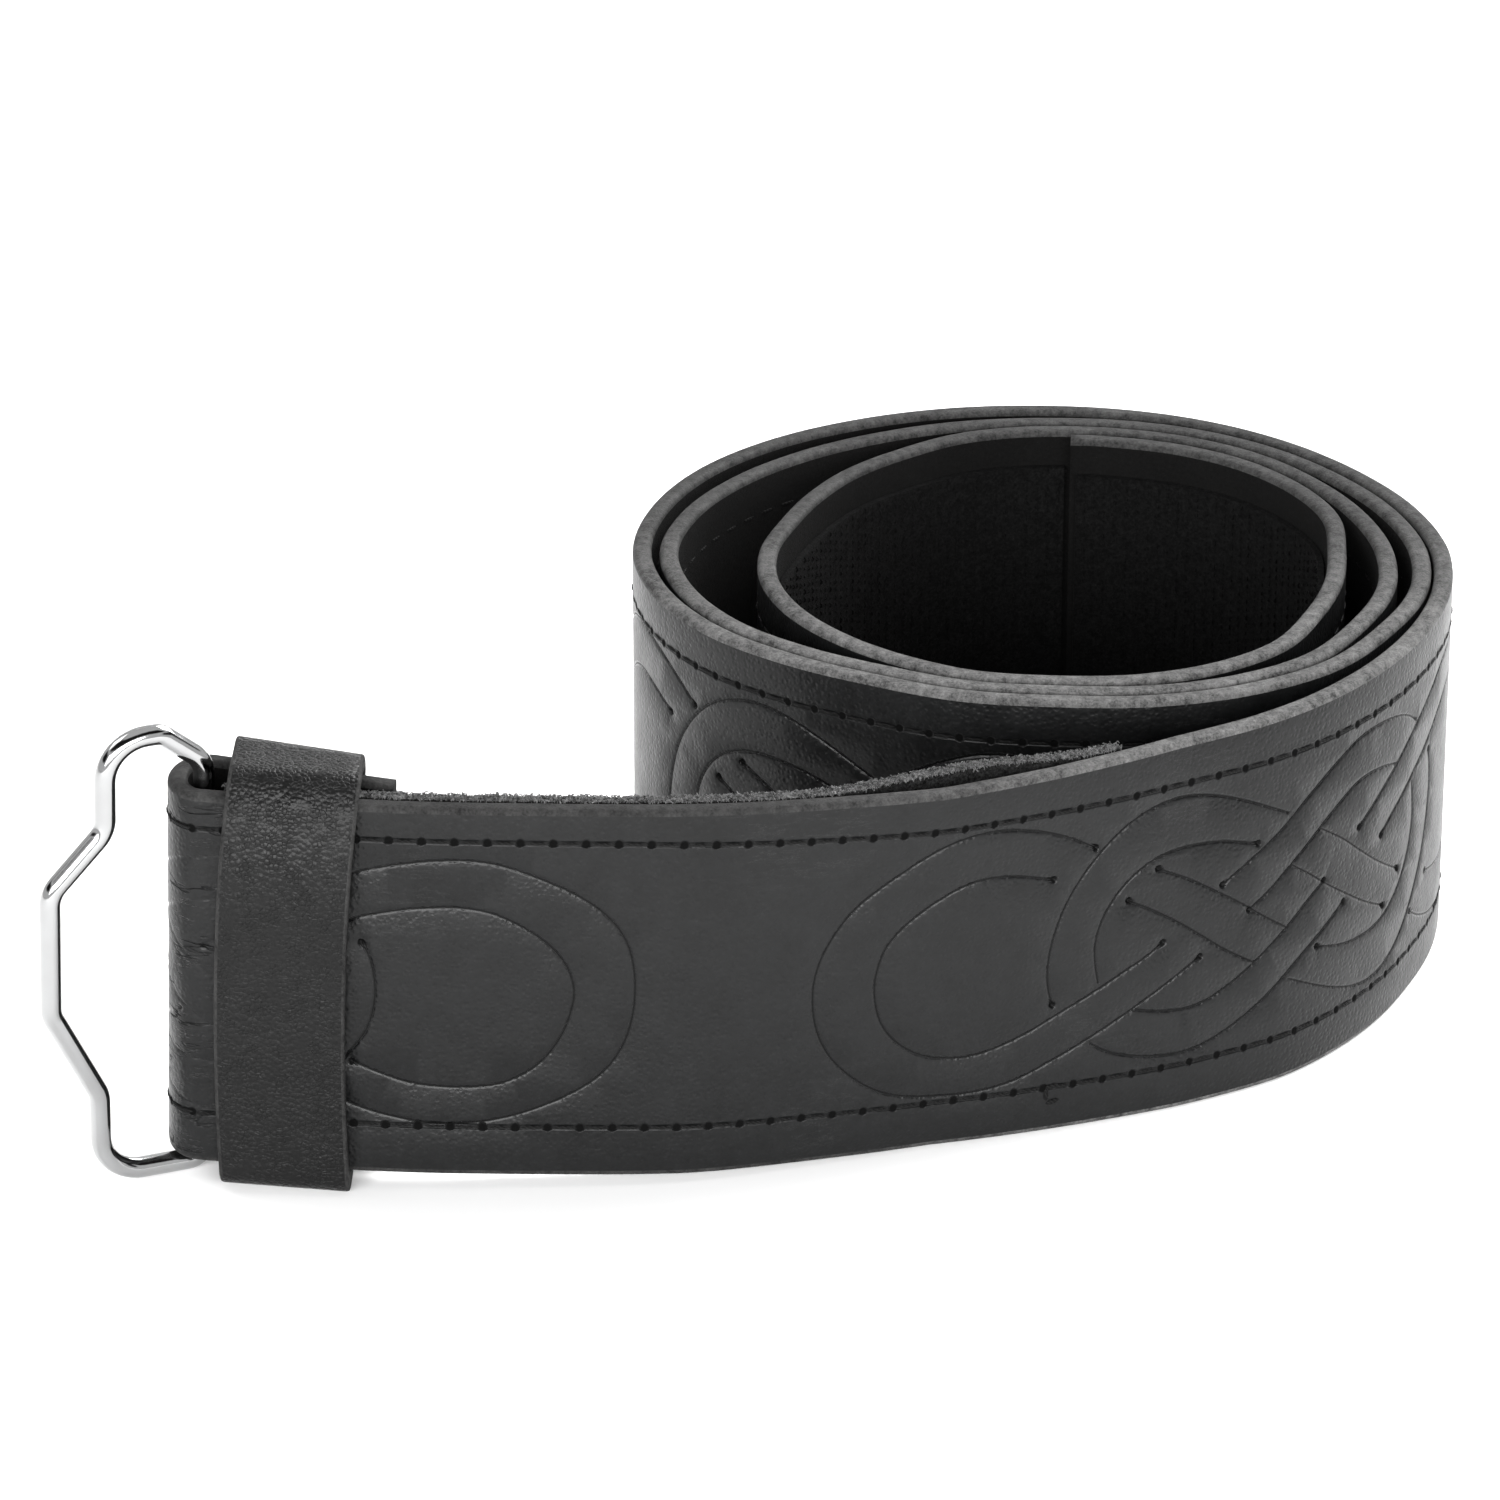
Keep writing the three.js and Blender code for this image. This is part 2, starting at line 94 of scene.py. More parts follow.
# Pressed knotwork. Points are millimetres from the middle of one knot, along and up, for one
# half of it. The other half is the same, turned half round. The two flags say which ends of a
# line have a deeper dot.
KNOT_MIDDLE_UP = 0.0285
KNOT_LINES = [
    ([(-32.3, 15.4), (-37, 18.2), (-43, 20.4), (-49.3, 21.2), (-55, 20.3), (-59.5, 18.2),
      (-66.3, 13.7), (-69.3, 11), (-71.3, 8.3), (-73.1, 5), (-74.1, 2), (-74.5, -1),
      (-74.3, -4.6), (-73.5, -8), (-71.8, -11.5), (-69.3, -14.5), (-66.3, -17), (-63, -18.8),
      (-59, -19.8), (-54, -20.3), (-49.5, -20.3), (-45.3, -19.7), (-42.3, -18.8),
      (-39.3, -17.5), (-36, -16.1), (-32.8, -14.6), (-29.3, -12.9), (-24.3, -10.3),
      (-20, -8), (-15.3, -5.4)], True, True),
    ([(-38.8, 11.8), (-41.3, 12.6), (-44.3, 13.4), (-47.3, 13.8), (-50.3, 13.8),
      (-53.3, 13.1), (-55.8, 12), (-58.3, 10.5), (-61.3, 8.2), (-63.8, 5.3), (-65, 2.3),
      (-65.5, -0.7), (-65.3, -3.7), (-64.5, -6.8), (-62.8, -9.6), (-60.3, -11.9),
      (-57.3, -13.5), (-54.3, -14.2), (-51.3, -14.4), (-48.3, -14), (-45.3, -13.1),
      (-42.3, -12), (-39.3, -10.6), (-36.3, -9.2), (-33.3, -7.9), (-30.3, -6.5),
      (-27.3, -5), (-24.3, -3.6), (-21.3, -1.8)], True, True),
    ([(-38.5, -8.2), (-39.2, -5.5), (-39.4, -2.5), (-38.9, 1.3), (-37.7, 5.3), (-36.1, 8.7),
      (-33.8, 12), (-30.8, 15.2), (-27.3, 17.8), (-23.3, 19.5), (-19.3, 20.1),
      (-15.3, 19.7), (-11.3, 18.5), (-7.3, 16.8), (-3, 14.6), (0, 13)], True, False),
    ([(-31.5, -6), (-32, -3), (-32.1, 0), (-31.4, 3), (-30.2, 5.4), (-28.3, 7.9),
      (-25.8, 10), (-22.8, 11.5), (-19.3, 12.2), (-16, 12.2), (-12.3, 11.8),
      (-8.8, 10.9), (-5.6, 9.8)], False, True),
    ([(-22.3, 9.9), (-17.3, 7.2), (-12.3, 3.9), (-8.3, 1.1), (-4.3, -2), (-0.4, -4.8)],
     True, False),
    ([(-27, 6), (-23.3, 3.8), (-19.3, 1.1), (-15.3, -2), (-11.3, -5.2), (-6.4, -8.5)],
     True, False),
    ([(-32.6, -15.4), (-30.3, -17), (-27.3, -18.3), (-23.3, -19.3), (-19.3, -19.7),
      (-15.3, -19.4), (-11.3, -18.1), (-7.3, -16.2), (-3.3, -13.9), (-0.3, -11.8),
      (2.7, -9.9), (6.7, -7.7), (11.7, -4.9)], False, True),
    ([(-25.5, -11.4), (-23.3, -12.1), (-20.3, -12.7), (-17.3, -12.9), (-14.3, -12.5),
      (-11.3, -11.3), (-8.3, -9.8), (-5.3, -8), (-2.3, -6), (0.7, -4), (3.7, -1.9),
      (7.2, 0.1)], False, True),
]
# The first knot, beside the keeper, was pressed a little apart from the rest: its right-hand
# loops and arc stand in for those of the half that is turned round.
FIRST_KNOT_LINES = [
    ([(15.3, 5.4), (20, 8.2), (24.3, 11), (29.3, 14.2), (32.8, 16.8), (35.5, 18), (39.5, 19.2),
      (43.5, 20), (47.5, 20.5), (51.5, 20.6), (55.5, 20.1), (59.5, 18.8), (63.5, 17.1),
      (67.5, 15), (70.5, 12.7), (72.6, 10.3), (74, 7.5), (74.8, 4), (75, 0), (74.6, -4),
      (73.4, -8), (71, -11.8), (67.5, -14.7), (63, -17.1), (58, -19), (52.5, -20.1),
      (47, -20.2), (42, -19.4), (37, -18), (32.3, -15.9)], True, True),
    ([(21.3, 1.8), (24.3, 3.9), (27.3, 6), (30.3, 8), (33.3, 9.8), (36.3, 11.3), (40, 12.3),
      (44.5, 13.1), (49.5, 13.4), (53.5, 13), (56.5, 12), (59.5, 10.4), (62.3, 8.4),
      (64.4, 6.2), (65.9, 3.6), (66.6, 0.5), (66.2, -2.5), (65.3, -5.5), (63.9, -8.2),
      (62, -10.6), (59.4, -12.6), (56.4, -13.9), (53.4, -14.4), (49.5, -14.5),
      (45.5, -14.2), (42.5, -13.5), (39.5, -12.4), (36, -11)], True, True),
    ([(37.2, 7.6), (38.2, 5.8), (38.9, 3), (39.2, 0), (38.9, -3), (38.2, -5.5),
      (37.1, -7.6), (35, -10.2), (32.3, -13.2), (29.3, -16), (26.3, -18), (23.3, -19.3),
      (19.3, -20.1), (15.3, -19.7), (11.3, -18.5), (7.3, -16.8), (3, -14.6), (0, -13)],
     True, False),
]
KNOT_PITCH = 0.1515
KNOT_MIDDLES = [0.0305] + [0.2053 + KNOT_PITCH * k for k in range(8)]
GROOVE_DEPTH = 0.00025
GROOVE_HALF = 0.00046
DOT_DEPTH = 0.0006
DOT_RADIUS = 0.0007
# The lines are pulled flatter where the strap bends round the bar: along, share of the depth.
GROOVE_IN_FOLD = [(0, 1), (0.028, 1), (0.034, 0.4), (0.049, 0.4), (0.060, 1), (9, 1)]
# The mesh follows each line in millimetre steps, in tracks and rings that are shares of the
# groove's half width and the dot's radius, and stays clear of the knots' shared borders.
LINE_STEP = 1.25
GROOVE_TRACKS = (-1, -0.5, 0, 0.5, 1)
DOT_RINGS = (0.35, 0.75, 1.05)
DOT_SIDES = 8
BORDER_MARGIN = 0.0012

# Stitches
STITCH_PITCH = 0.0045
STITCH_PHASE = 0.0038
STITCH_LENGTH = 0.0039
THREAD_RADIUS = 0.00021
THREAD_DEPTH = 0.00006
# How far a stitch reaches under and over its place, in thread radii.
STITCH_SINK, STITCH_RISE = -2.6, 1.1
# Where a hole and the channel between the holes end, from their middles.
HOLE_EDGE = (0.00042, 0.00078)
CHANNEL_EDGE = (0.00022, 0.00052)
# Along, and the heights of the lower and the upper row.
STITCH_ROWS = [
    (0, 0.0079, 0.0520), (0.105, 0.0078, 0.0519), (0.140, 0.0074, 0.0511),
    (0.180, 0.0070, 0.0506), (0.230, 0.0069, 0.0504), (2, 0.0069, 0.0504),
]
# A back stitch of three short threads under the lower row: along, up, and its way along and up.
BACK_STITCHES = [(0.1662, 0.0060, 0, 1), (0.1672, 0.0048, 1, 0.2), (0.1671, 0.0073, 1, 0.2)]
BACK_STITCH_LENGTH = 0.0024
BACK_STITCH_RADIUS = 1.7 * THREAD_RADIUS
BACK_STITCH_DEPTH = 0.00004

# Ring
WIRE_RADIUS = 0.0015
RING_HEIGHT = 0.0668
RING_REACH = 0.023
RING_REST_SWING = math.radians(28)
WIRE_SIDES = 28
BEND_STEPS = 12
BAR_TOP = FOLD_LIFT + STRAP_WIDTH + 0.003 - WIRE_RADIUS
RING_CORNERS = [
    (0, 0, 0.0025), (0.66, 0, 0.006), (0.67, 0.19, 0.0045), (0.97, 0.395, 0.0045),
    (0.97, 0.674, 0.0045), (0.62, 0.8, 0.0045), (0.62, 1, 0.006), (0.27, 1, 0.0025),
    (0, BAR_TOP / RING_HEIGHT, 0.0045),
]

# Keeper
KEEPER_WIDTH = 0.0182
KEEPER_WALL = 0.002
KEEPER_SETBACK = 0.0031
KEEPER_TILT = math.radians(2.5)
KEEPER_SKEW = math.tan(math.radians(2.7))
KEEPER_CLEARANCE = 0.0006
KEEPER_CORNER = 0.0048
KEEPER_FOOT_CORNER = 0.0025
KEEPER_SWAY = 0.0013
KEEPER_EDGE = 0.0005
KEEPER_SIDE = 0.0016
# The front bulges under its upper bend: height as a share, and how far it stands out.
KEEPER_FRONT = [(0, 0.0002), (0.1, 0.0003), (0.3, 0.0002), (0.5, 0.0003), (0.62, 0.0008),
                (0.7, 0.0012), (0.78, 0.0009), (0.86, 0), (0.93, -0.0013), (1, -0.0028)]
KEEPER_INNER_HEIGHT = STRAP_WIDTH + 0.0021
KEEPER_INNER_DEPTH = 2 * (FOLD_HALF_DEPTH + KEEPER_CLEARANCE)

# Tapes
LOOP_TAPE = 0.0015
LOOP_TAPE_LENGTH = 0.130
LOOP_TAPE_BULGE = 0.0036
LOOP_TAPE_BULGE_SHARE = 0.38
HOOK_TAPE = 0.0014
END_TAPE = 0.0012
END_GROUND = END_TAPE - 0.0003
END_TAPE_MARGINS = (0.0009, 0.0007)
TAPE_MARGINS = {"loop_tape": 0.0002, "hook_tape": 0.0035, "end_tape": 0.0055}
TAPE_END_MARGIN = 0.003
PIECE_GAP = 0.0003
TAPE_NEAR = LEATHER + PIECE_GAP
# Fibres: how many, how long and how thick.
EDGE_FIBRES, EDGE_FIBRE_LENGTH, EDGE_FIBRE_RADIUS = 8200, 0.0005, 0.00008
FACE_FIBRES, FACE_FIBRE_LENGTH, FACE_FIBRE_RADIUS = 9000, 0.0006, 0.00006
FACE_FIBRE_HEIGHTS = (0.0011, STRAP_WIDTH - 0.0006)
# How deep fibres and hooks stand in their tape.
ROOT = 0.0001
HOOK_LENGTH = 0.0007
HOOK_RADIUS = 0.00014
HOOK_COLUMNS = 0.0018
END_HOOK_PITCH = 0.0013
TAIL_HOOK_PITCH = 0.0014
# The loop tape's upper edge has fibres all along, and its lower edge only up to here.
CLEAR_OF_FLOOR = 0.110

# Camera, in front of the belt and 26 degrees above it
CAMERA_PLACE = (-0.0023893, -0.9832926, 0.5135)
CAMERA_TILT = math.radians(64)


# The strap's path


def read_table(rows, column, at):
    """Smooth value of a table's column between its rows, which never swings past them."""
    keys = [row[0] for row in rows]
    values = [row[column] for row in rows]
    index = min(max(sum(key <= at for key in keys) - 1, 0), len(rows) - 2)

    def rise(i):
        return (values[i + 1] - values[i]) / (keys[i + 1] - keys[i])

    def slope(i):
        if i == 0:
            return rise(0)
        if i == len(rows) - 1:
            return rise(len(rows) - 2)
        before, after = rise(i - 1), rise(i)
        return 2 * before * after / (before + after) if before * after > 0 else 0

    span = keys[index + 1] - keys[index]
    t = min(max((at - keys[index]) / span, 0), 1)
    smooth = t * t * (3 - 2 * t)
    bends = t * (1 - t) ** 2 * span * slope(index) - t * t * (1 - t) * span * slope(index + 1)
    return values[index] + (values[index + 1] - values[index]) * smooth + bends


def curve_between(p0, p1, p2, p3):
    """The cubic from p1 to p2: what t cubed, t squared and t are multiplied by, and its start."""
    v0, v1 = (p2 - p0) / 2, (p3 - p1) / 2
    return 2 * p1 - 2 * p2 + v0 + v1, -3 * p1 + 3 * p2 - 2 * v0 - v1, v0, p1


def outer_reach(angle):
    """Distance of the strap's outer face from the coil's middle, at an angle in degrees."""
    first_end, inside_from = FIRST_TURN[-1][0], OPENINGS[0][0]
    if angle <= first_end:
        return COIL_RADIUS * read_table(FIRST_TURN, 1, angle)
    if angle < inside_from:
        share = (angle - first_end) / (inside_from - first_end)
        return outer_reach(first_end) * (1 - share) + outer_reach(inside_from) * share
    opening = TURN_CLEARANCE + COIL_RADIUS * read_table(OPENINGS, 1, angle)
    return outer_reach(angle - 360) - LEATHER - opening


def guide_points():
    """The run's and the coil's guiding points: x, y, lean, lift, rake and angle."""
    points = [(-along * RUN_LENGTH, -out * COIL_RADIUS, lean, lift, rake, -90.0)
              for along, out, lean, lift, rake in RUN_ROWS]
    for angle in [*np.arange(FIRST_TURN[0][0], INNER_END_ANGLE, COIL_STEP), INNER_END_ANGLE]:
        turn, reach = math.radians(angle), outer_reach(angle)
        lean = read_table(FIRST_TURN, 2, angle) if angle < 0 else 0
        points.append((reach * math.cos(turn), reach * math.sin(turn), lean, 0, 0, angle))
    return np.array(points, float)


GUIDES = guide_points()
FOLD_START = GUIDES[0, :2]
FOLD_AHEAD = GUIDES[1, :2] - FOLD_START
FOLD_AHEAD /= np.linalg.norm(FOLD_AHEAD)
FOLD_INWARD = np.array([-FOLD_AHEAD[1], FOLD_AHEAD[0]])
FOLD_TURN = math.atan2(FOLD_AHEAD[1], FOLD_AHEAD[0])
FOLD_RAKE = RUN_ROWS[0][4]


def fold_place(along, deep):
    """A point seen from above, from the start of the fold towards the coil and inwards."""
    return FOLD_START + FOLD_AHEAD * along + FOLD_INWARD * deep


def fold_rows():
    """The path's rows along the tail and round the ring's bar."""
    rows = []

    def add(along, deep, out_along, out_deep):
        out = FOLD_AHEAD * out_along + FOLD_INWARD * out_deep
        out /= np.linalg.norm(out)
        lift = 1 - FOLD_RAKE * along / FOLD_LIFT
        rows.append([*fold_place(along, deep), *out, 0, lift, FOLD_RAKE, -90.0])

    sine, cosine = math.sin(TAIL_SLOPE), math.cos(TAIL_SLOPE)
    tail_along = FOLD_REACH ** 2 * sine / TAIL_FROM_FOLD_MIDDLE
    tail_deep = FOLD_HALF_DEPTH * (1 + FOLD_HALF_DEPTH * cosine / TAIL_FROM_FOLD_MIDDLE)
    for left in np.linspace(TAIL_LENGTH, 0, TAIL_STEPS + 1)[:-1]:
        add(tail_along + left * cosine, tail_deep - left * sine, sine, cosine)
    first = math.atan2(FOLD_HALF_DEPTH * cosine, FOLD_REACH * sine)
    for turn in np.linspace(first, 1.5 * math.pi, FOLD_STEPS + 1)[:-1]:
        across, deep = math.cos(turn), math.sin(turn)
        add(FOLD_REACH * across, FOLD_HALF_DEPTH * (1 + deep), FOLD_HALF_DEPTH * across,
            FOLD_REACH * deep)
    return rows


def coil_rows():
    """The path's rows along the run and the coil, on a smooth curve through the guides."""
    rows = []
    last = len(GUIDES) - 1
    for k in range(last):
        here, there = GUIDES[k], GUIDES[k + 1]
        a, b, c, d = curve_between(GUIDES[max(k - 1, 0)], here, there, GUIDES[min(k + 2, last)])
        count = 10 if k < len(RUN_ROWS) else 8
        for t in np.linspace(0, 1, count + 1)[:-1 if k < last - 1 else None]:
            place = a * t ** 3 + b * t ** 2 + c * t + d
            heading = 3 * a * t ** 2 + 2 * b * t + c
            out = np.array([heading[1], -heading[0]]) / np.hypot(*heading[:2])
            stand = here + (there - here) * t
            rows.append([*place[:2], *out, *stand[2:6]])
    return rows


# Rows of x, y, out x, out y, lean, lift, rake and angle, from the tail's free end.
PATH = np.array(fold_rows() + coil_rows())
STEPS = np.linalg.norm(np.diff(PATH[:, :2], axis=0), axis=1)
PATH_ALONG = np.concatenate([[0], np.cumsum(STEPS)])
STRAP_LENGTH = float(PATH_ALONG[-1])
RUN_START = float(PATH_ALONG[TAIL_STEPS + FOLD_STEPS])

# The frame's hinge says where the ring's bar stands, and so where the whole path lies.
BAR = fold_place(-FOLD_RAKE * FOLD_LIFT, FOLD_REACH)
HINGE = np.array(frame["joints"][0]["pos_m"][:2])
PATH[:, :2] += HINGE - BAR
FOLD_START = FOLD_START + HINGE - BAR


def on_strap(along, up, inward):
    """Points in space for arrays of along, up and inward."""
    along, up, inward = np.broadcast_arrays(along, up, inward)
    x, y, out_x, out_y, lean, lift, rake = (
        np.interp(along, PATH_ALONG, PATH[:, k]) for k in range(7)
    )
    size = np.hypot(out_x, out_y)
    shift = lean * (up - STRAP_WIDTH / 2) - inward
    return np.stack([
        x + out_x / size * shift + rake * up,
        y + out_y / size * shift,
        lift * FOLD_LIFT + up,
    ], -1)


def unit(rows):
    """Rows of numbers, each brought to length one."""
    return rows / np.linalg.norm(rows, axis=1)[:, None]


def out_of_strap(along, up):
    """Unit ways out of the strap's outer face."""
    return unit(on_strap(along, up, 0) - on_strap(along, up, LEATHER))


def new_object(name, data):
    """An object at the origin, linked to the scene."""
    made = bpy.data.objects.new(name, data)
    bpy.context.scene.collection.objects.link(made)
    return made


def new_piece(name, verts, faces, materials, marks=None, smooth=True):
    """A mesh object at the origin. marks are the faces' material numbers."""
    mesh = bpy.data.meshes.new(name)
    mesh.from_pydata([tuple(v) for v in verts], [], [tuple(f) for f in faces])
    for material in materials:
        mesh.materials.append(material)
    if marks is not None:
        mesh.polygons.foreach_set("material_index", np.array(marks, np.int32))
    mesh.polygons.foreach_set("use_smooth", [smooth] * len(mesh.polygons))
    mesh.update()
    return new_object(name, mesh)


# Nodes and shader maths


class Value:
    """One output of a node, which can be used in sums."""

    def __init__(self, nodes, socket):
        self.nodes = nodes
        self.socket = socket

    def math(self, operation, *others):
        inputs = {i: value for i, value in enumerate((self, *others))}
        return self.nodes.node("ShaderNodeMath", {"operation": operation}, inputs)

    def __add__(self, other):
        return self.math("ADD", other)

    __radd__ = __add__

    def __mul__(self, other):
        return self.math("MULTIPLY", other)

    __rmul__ = __mul__

    def __sub__(self, other):
        return self.math("SUBTRACT", other)

    def __rsub__(self, other):
        return self.nodes.node(
            "ShaderNodeMath", {"operation": "SUBTRACT"}, {0: other, 1: self}
        )

    def __truediv__(self, other):
        return self.math("DIVIDE", other)

    def within(self, low, high):
        """0 below low and 1 above high, smooth between."""
        settings = {"interpolation_type": "SMOOTHSTEP"}
        return self.nodes.node("ShaderNodeMapRange", settings, {0: self, 1: low, 2: high})

    def near_zero(self, low, high):
        """1 closer to zero than low and 0 farther than high, smooth between."""
        return 1 - self.math("ABSOLUTE").within(low, high)


class Nodes:
    """A tree of nodes, of a material, the world or something that grows on points."""

    def __init__(self, tree):
        self.tree = tree
        tree.nodes.clear()

    def node(self, kind, settings=None, inputs=None, output=0):
        made = self.tree.nodes.new(kind)
        for key, value in (settings or {}).items():
            setattr(made, key, value)
        for key, value in (inputs or {}).items():
            self.feed(made.inputs[key], value)
        return Value(self, made.outputs[output])

    def feed(self, socket, value):
        if isinstance(value, Value):
            self.tree.links.new(value.socket, socket)
        else:
            socket.default_value = value

    def place(self):
        return self.node("ShaderNodeTexCoord", output=3)

    def stretched(self, x, y, z):
        inputs = {0: self.place(), 1: (x, y, z)}
        return self.node("ShaderNodeVectorMath", {"operation": "MULTIPLY"}, inputs)

    def parts(self, vector):
        """The three numbers of a vector."""
        split = self.tree.nodes.new("ShaderNodeSeparateXYZ")
        self.feed(split.inputs[0], vector)
        return [Value(self, output) for output in split.outputs]

    def noise(self, scale, detail=2.0, where=None, roughness=0.5):
        inputs = {"Vector": where or self.place(), "Scale": scale, "Detail": detail,
                  "Roughness": roughness}
        return self.node("ShaderNodeTexNoise", None, inputs)

    def cells(self, scale, feature="F1", where=None, smoothness=None):
        inputs = {"Vector": where or self.place(), "Scale": scale}
        if smoothness is not None:
            inputs["Smoothness"] = smoothness
        return self.node("ShaderNodeTexVoronoi", {"feature": feature}, inputs)

    def attribute(self, name):
        return self.node("ShaderNodeAttribute", {"attribute_name": name}, output=2)

    def mix(self, share, low, high):
        """A colour between two colours."""
        settings = {"data_type": "RGBA"}
        return self.node("ShaderNodeMix", settings, {0: share, 6: low, 7: high}, output=2)

    def bump(self, height, depth, below=None):
        inputs = {"Height": height, "Distance": depth, "Strength": 1.0}
        if below is not None:
            inputs["Normal"] = below
        return self.node("ShaderNodeBump", None, inputs)


def spread(middle, *noises):
    """A middle value that each noise moves up and down by its share."""
    for noise, share in noises:
        middle = (noise - 0.5) * share + middle
    return middle


def grey(level, warm=0.0):
    return (level * (1 + warm), level, level * (1 - warm), 1)


class Finish(Nodes):
    """A material that is built from nodes. Painted shade, a dark surface, may be mixed over it."""

    def __init__(self, name, **fixed):
        self.material = bpy.data.materials.new(name)
        self.material.use_nodes = True
        super().__init__(self.material.node_tree)
        self.surface = self.shader(**fixed)
        self.output = self.tree.nodes.new("ShaderNodeOutputMaterial")
        self.tree.links.new(self.surface.outputs[0], self.output.inputs[0])

    def shader(self, **fixed):
        made = self.tree.nodes.new("ShaderNodeBsdfPrincipled")
        for socket, value in fixed.items():
            made.inputs[socket.replace("_", " ")].default_value = value
        return made

    def set(self, **values):
        for socket, value in values.items():
            self.feed(self.surface.inputs[socket.replace("_", " ")], value)

    def paint_shade(self, share, level):
        """Lets a matt dark surface through where share is 1: painted shade."""
        dull = self.shader(Base_Color=grey(level), Roughness=1.0, IOR=1.1)
        mixed = self.tree.nodes.new("ShaderNodeMixShader")
        self.feed(mixed.inputs[0], share)
        self.tree.links.new(self.surface.outputs[0], mixed.inputs[1])
        self.tree.links.new(dull.outputs[0], mixed.inputs[2])
        self.tree.links.new(mixed.outputs[0], self.output.inputs[0])


def leather_finish():
    """Smooth black leather with fine pores, and the marks of use, pressing and stitching. Shade is
    painted into the pressed lines, the stitch holes, the channel between them and the creases in
    the fold.
    """
    finish = Finish("strap_leather", IOR=1.3)
    layer = finish.node("ShaderNodeUVMap", {"uv_map": "run"})
    along = finish.parts(layer)[0]
    pressed = finish.attribute("pressed")
    large = finish.noise(38, 3)
    cloud = finish.noise(240, 3)
    fine = finish.noise(1100, 3, None, 0.65)
    pores = finish.cells(1350).within(0.15, 0.6)
    low = finish.attribute("over_low_row")
    high = finish.attribute("over_high_row")
    near_row = low.math("ABSOLUTE").math("MINIMUM", high.math("ABSOLUTE"))
    beside = ((along - STITCH_PHASE) / STITCH_PITCH + 0.5).math("FRACT") - 0.5
    from_hole = beside * STITCH_PITCH
    # Stitch holes and the channel between them: pressed in the bump, and darkened below as painted
    # shade.
    hole = (from_hole * from_hole + near_row * near_row).math("SQRT").near_zero(*HOLE_EDGE)
    channel = near_row.near_zero(*CHANNEL_EDGE)
    # Creases in the fold: pressed in the bump, and darkened below as painted shade.
    in_fold = (along - 0.0365).near_zero(0.006, 0.015)
    creases = finish.noise(120, 4, finish.stretched(0.3, 0.3, 1.5), 0.7)
    crease = (creases - 0.5).near_zero(0.0, 0.02) * in_fold
    crease = crease * finish.noise(170, 1, finish.stretched(0.6, 0.6, 1)).within(0.45, 0.6)
    rubs = finish.noise(150, 5, finish.stretched(0.5, 0.5, 4), 0.7)
    rub = (rubs - 0.47).near_zero(0.0, 0.012) * in_fold
    rub = rub * finish.noise(230, 1).within(0.5, 0.62)
    scratches = finish.noise(60, 6, finish.stretched(1, 1, 7), 0.75)
    scratch = (scratches - 0.5).near_zero(0.0, 0.004)
    scratch = scratch * finish.noise(30, 1).within(0.58, 0.66)
    tone = spread(0.4, (large, 0.5), (cloud, 0.5), (fine, 0.6))
    colour = finish.mix(tone, grey(0.0015), grey(0.009, -0.04))
    colour = finish.mix(scratch * 0.25 + rub * 0.6, colour, grey(0.12))
    finish.set(
        Base_Color=colour,
        Roughness=(spread(0.36, (large, 0.14), (cloud, 0.12), (fine, 0.14))
                   + scratch * 0.1 - pressed.within(0.0, 0.5) * 0.1),
    )
    # Painted shade: a dark surface in the pressed lines' bottoms, the stitch holes, the stitch
    # channel and the fold's creases.
    finish.paint_shade(
        (pressed.within(0.4, 1.1) * 0.8).math("MAXIMUM", hole)
        .math("MAXIMUM", channel * 0.45).math("MAXIMUM", crease * 0.7), 0.003
    )
    grain = finish.bump(pores * 0.3 + fine * 0.55 + cloud * 0.5, 0.00012)
    marks = finish.bump(1 - channel * 0.35 - hole * 0.6 - crease * 0.8 - rub * 0.2, 0.0004,
                        grain)
    finish.set(Normal=marks)
    return finish.material


def cut_edge_finish(name):
    """The cut edge of the leather, dyed grey and burnished smooth. It is painted lighter on the
    coil, a painted highlight where the edge catches the light, and darker on the run and at the
    back, a painted shade.
    """
    finish = Finish(name, IOR=1.2)
    fibres = finish.noise(2600, 4, None, 0.7)
    layers = finish.noise(700, 3, finish.stretched(1, 1, 0.6))
    large = finish.noise(90, 2)
    tone = spread(0.4, (fibres, 1.5), (layers, 1.1), (large, 0.6))
    along = finish.parts(finish.node("ShaderNodeUVMap", {"uv_map": "run"}))[0]
    back = finish.parts(finish.place())[1]
    # Painted light: lighter on the coil where the edge catches the light, darker on the run and at
    # the back where it is in shade.
    painted_rim_light = along.within(0.12, 0.19) * (1 - back.within(-0.015, 0.04) * 0.8)
    finish.set(
        Base_Color=finish.mix(painted_rim_light, finish.mix(tone, grey(0.006), grey(0.042, 0.01)),
                              finish.mix(tone, grey(0.015), grey(0.16, 0.01))),
        Roughness=spread(0.62, (fibres, 0.3)),
    )
    finish.set(Normal=finish.bump(fibres * 0.6 + layers * 0.5, 0.00022))
    return finish.material


def flesh_side_finish():
    """The dark inner side of the strap, with a short nap."""
    finish = Finish("flesh_side", Roughness=0.95, IOR=1.2)
    nap = finish.noise(1900, 5, None, 0.75)
    patches = finish.noise(70, 3)
    tone = nap * 0.9 + patches * 0.4 - 0.2
    finish.set(Base_Color=finish.mix(tone, grey(0.0008), grey(0.008, 0.02)))
    finish.set(Normal=finish.bump(nap, 0.0003))
    return finish.material


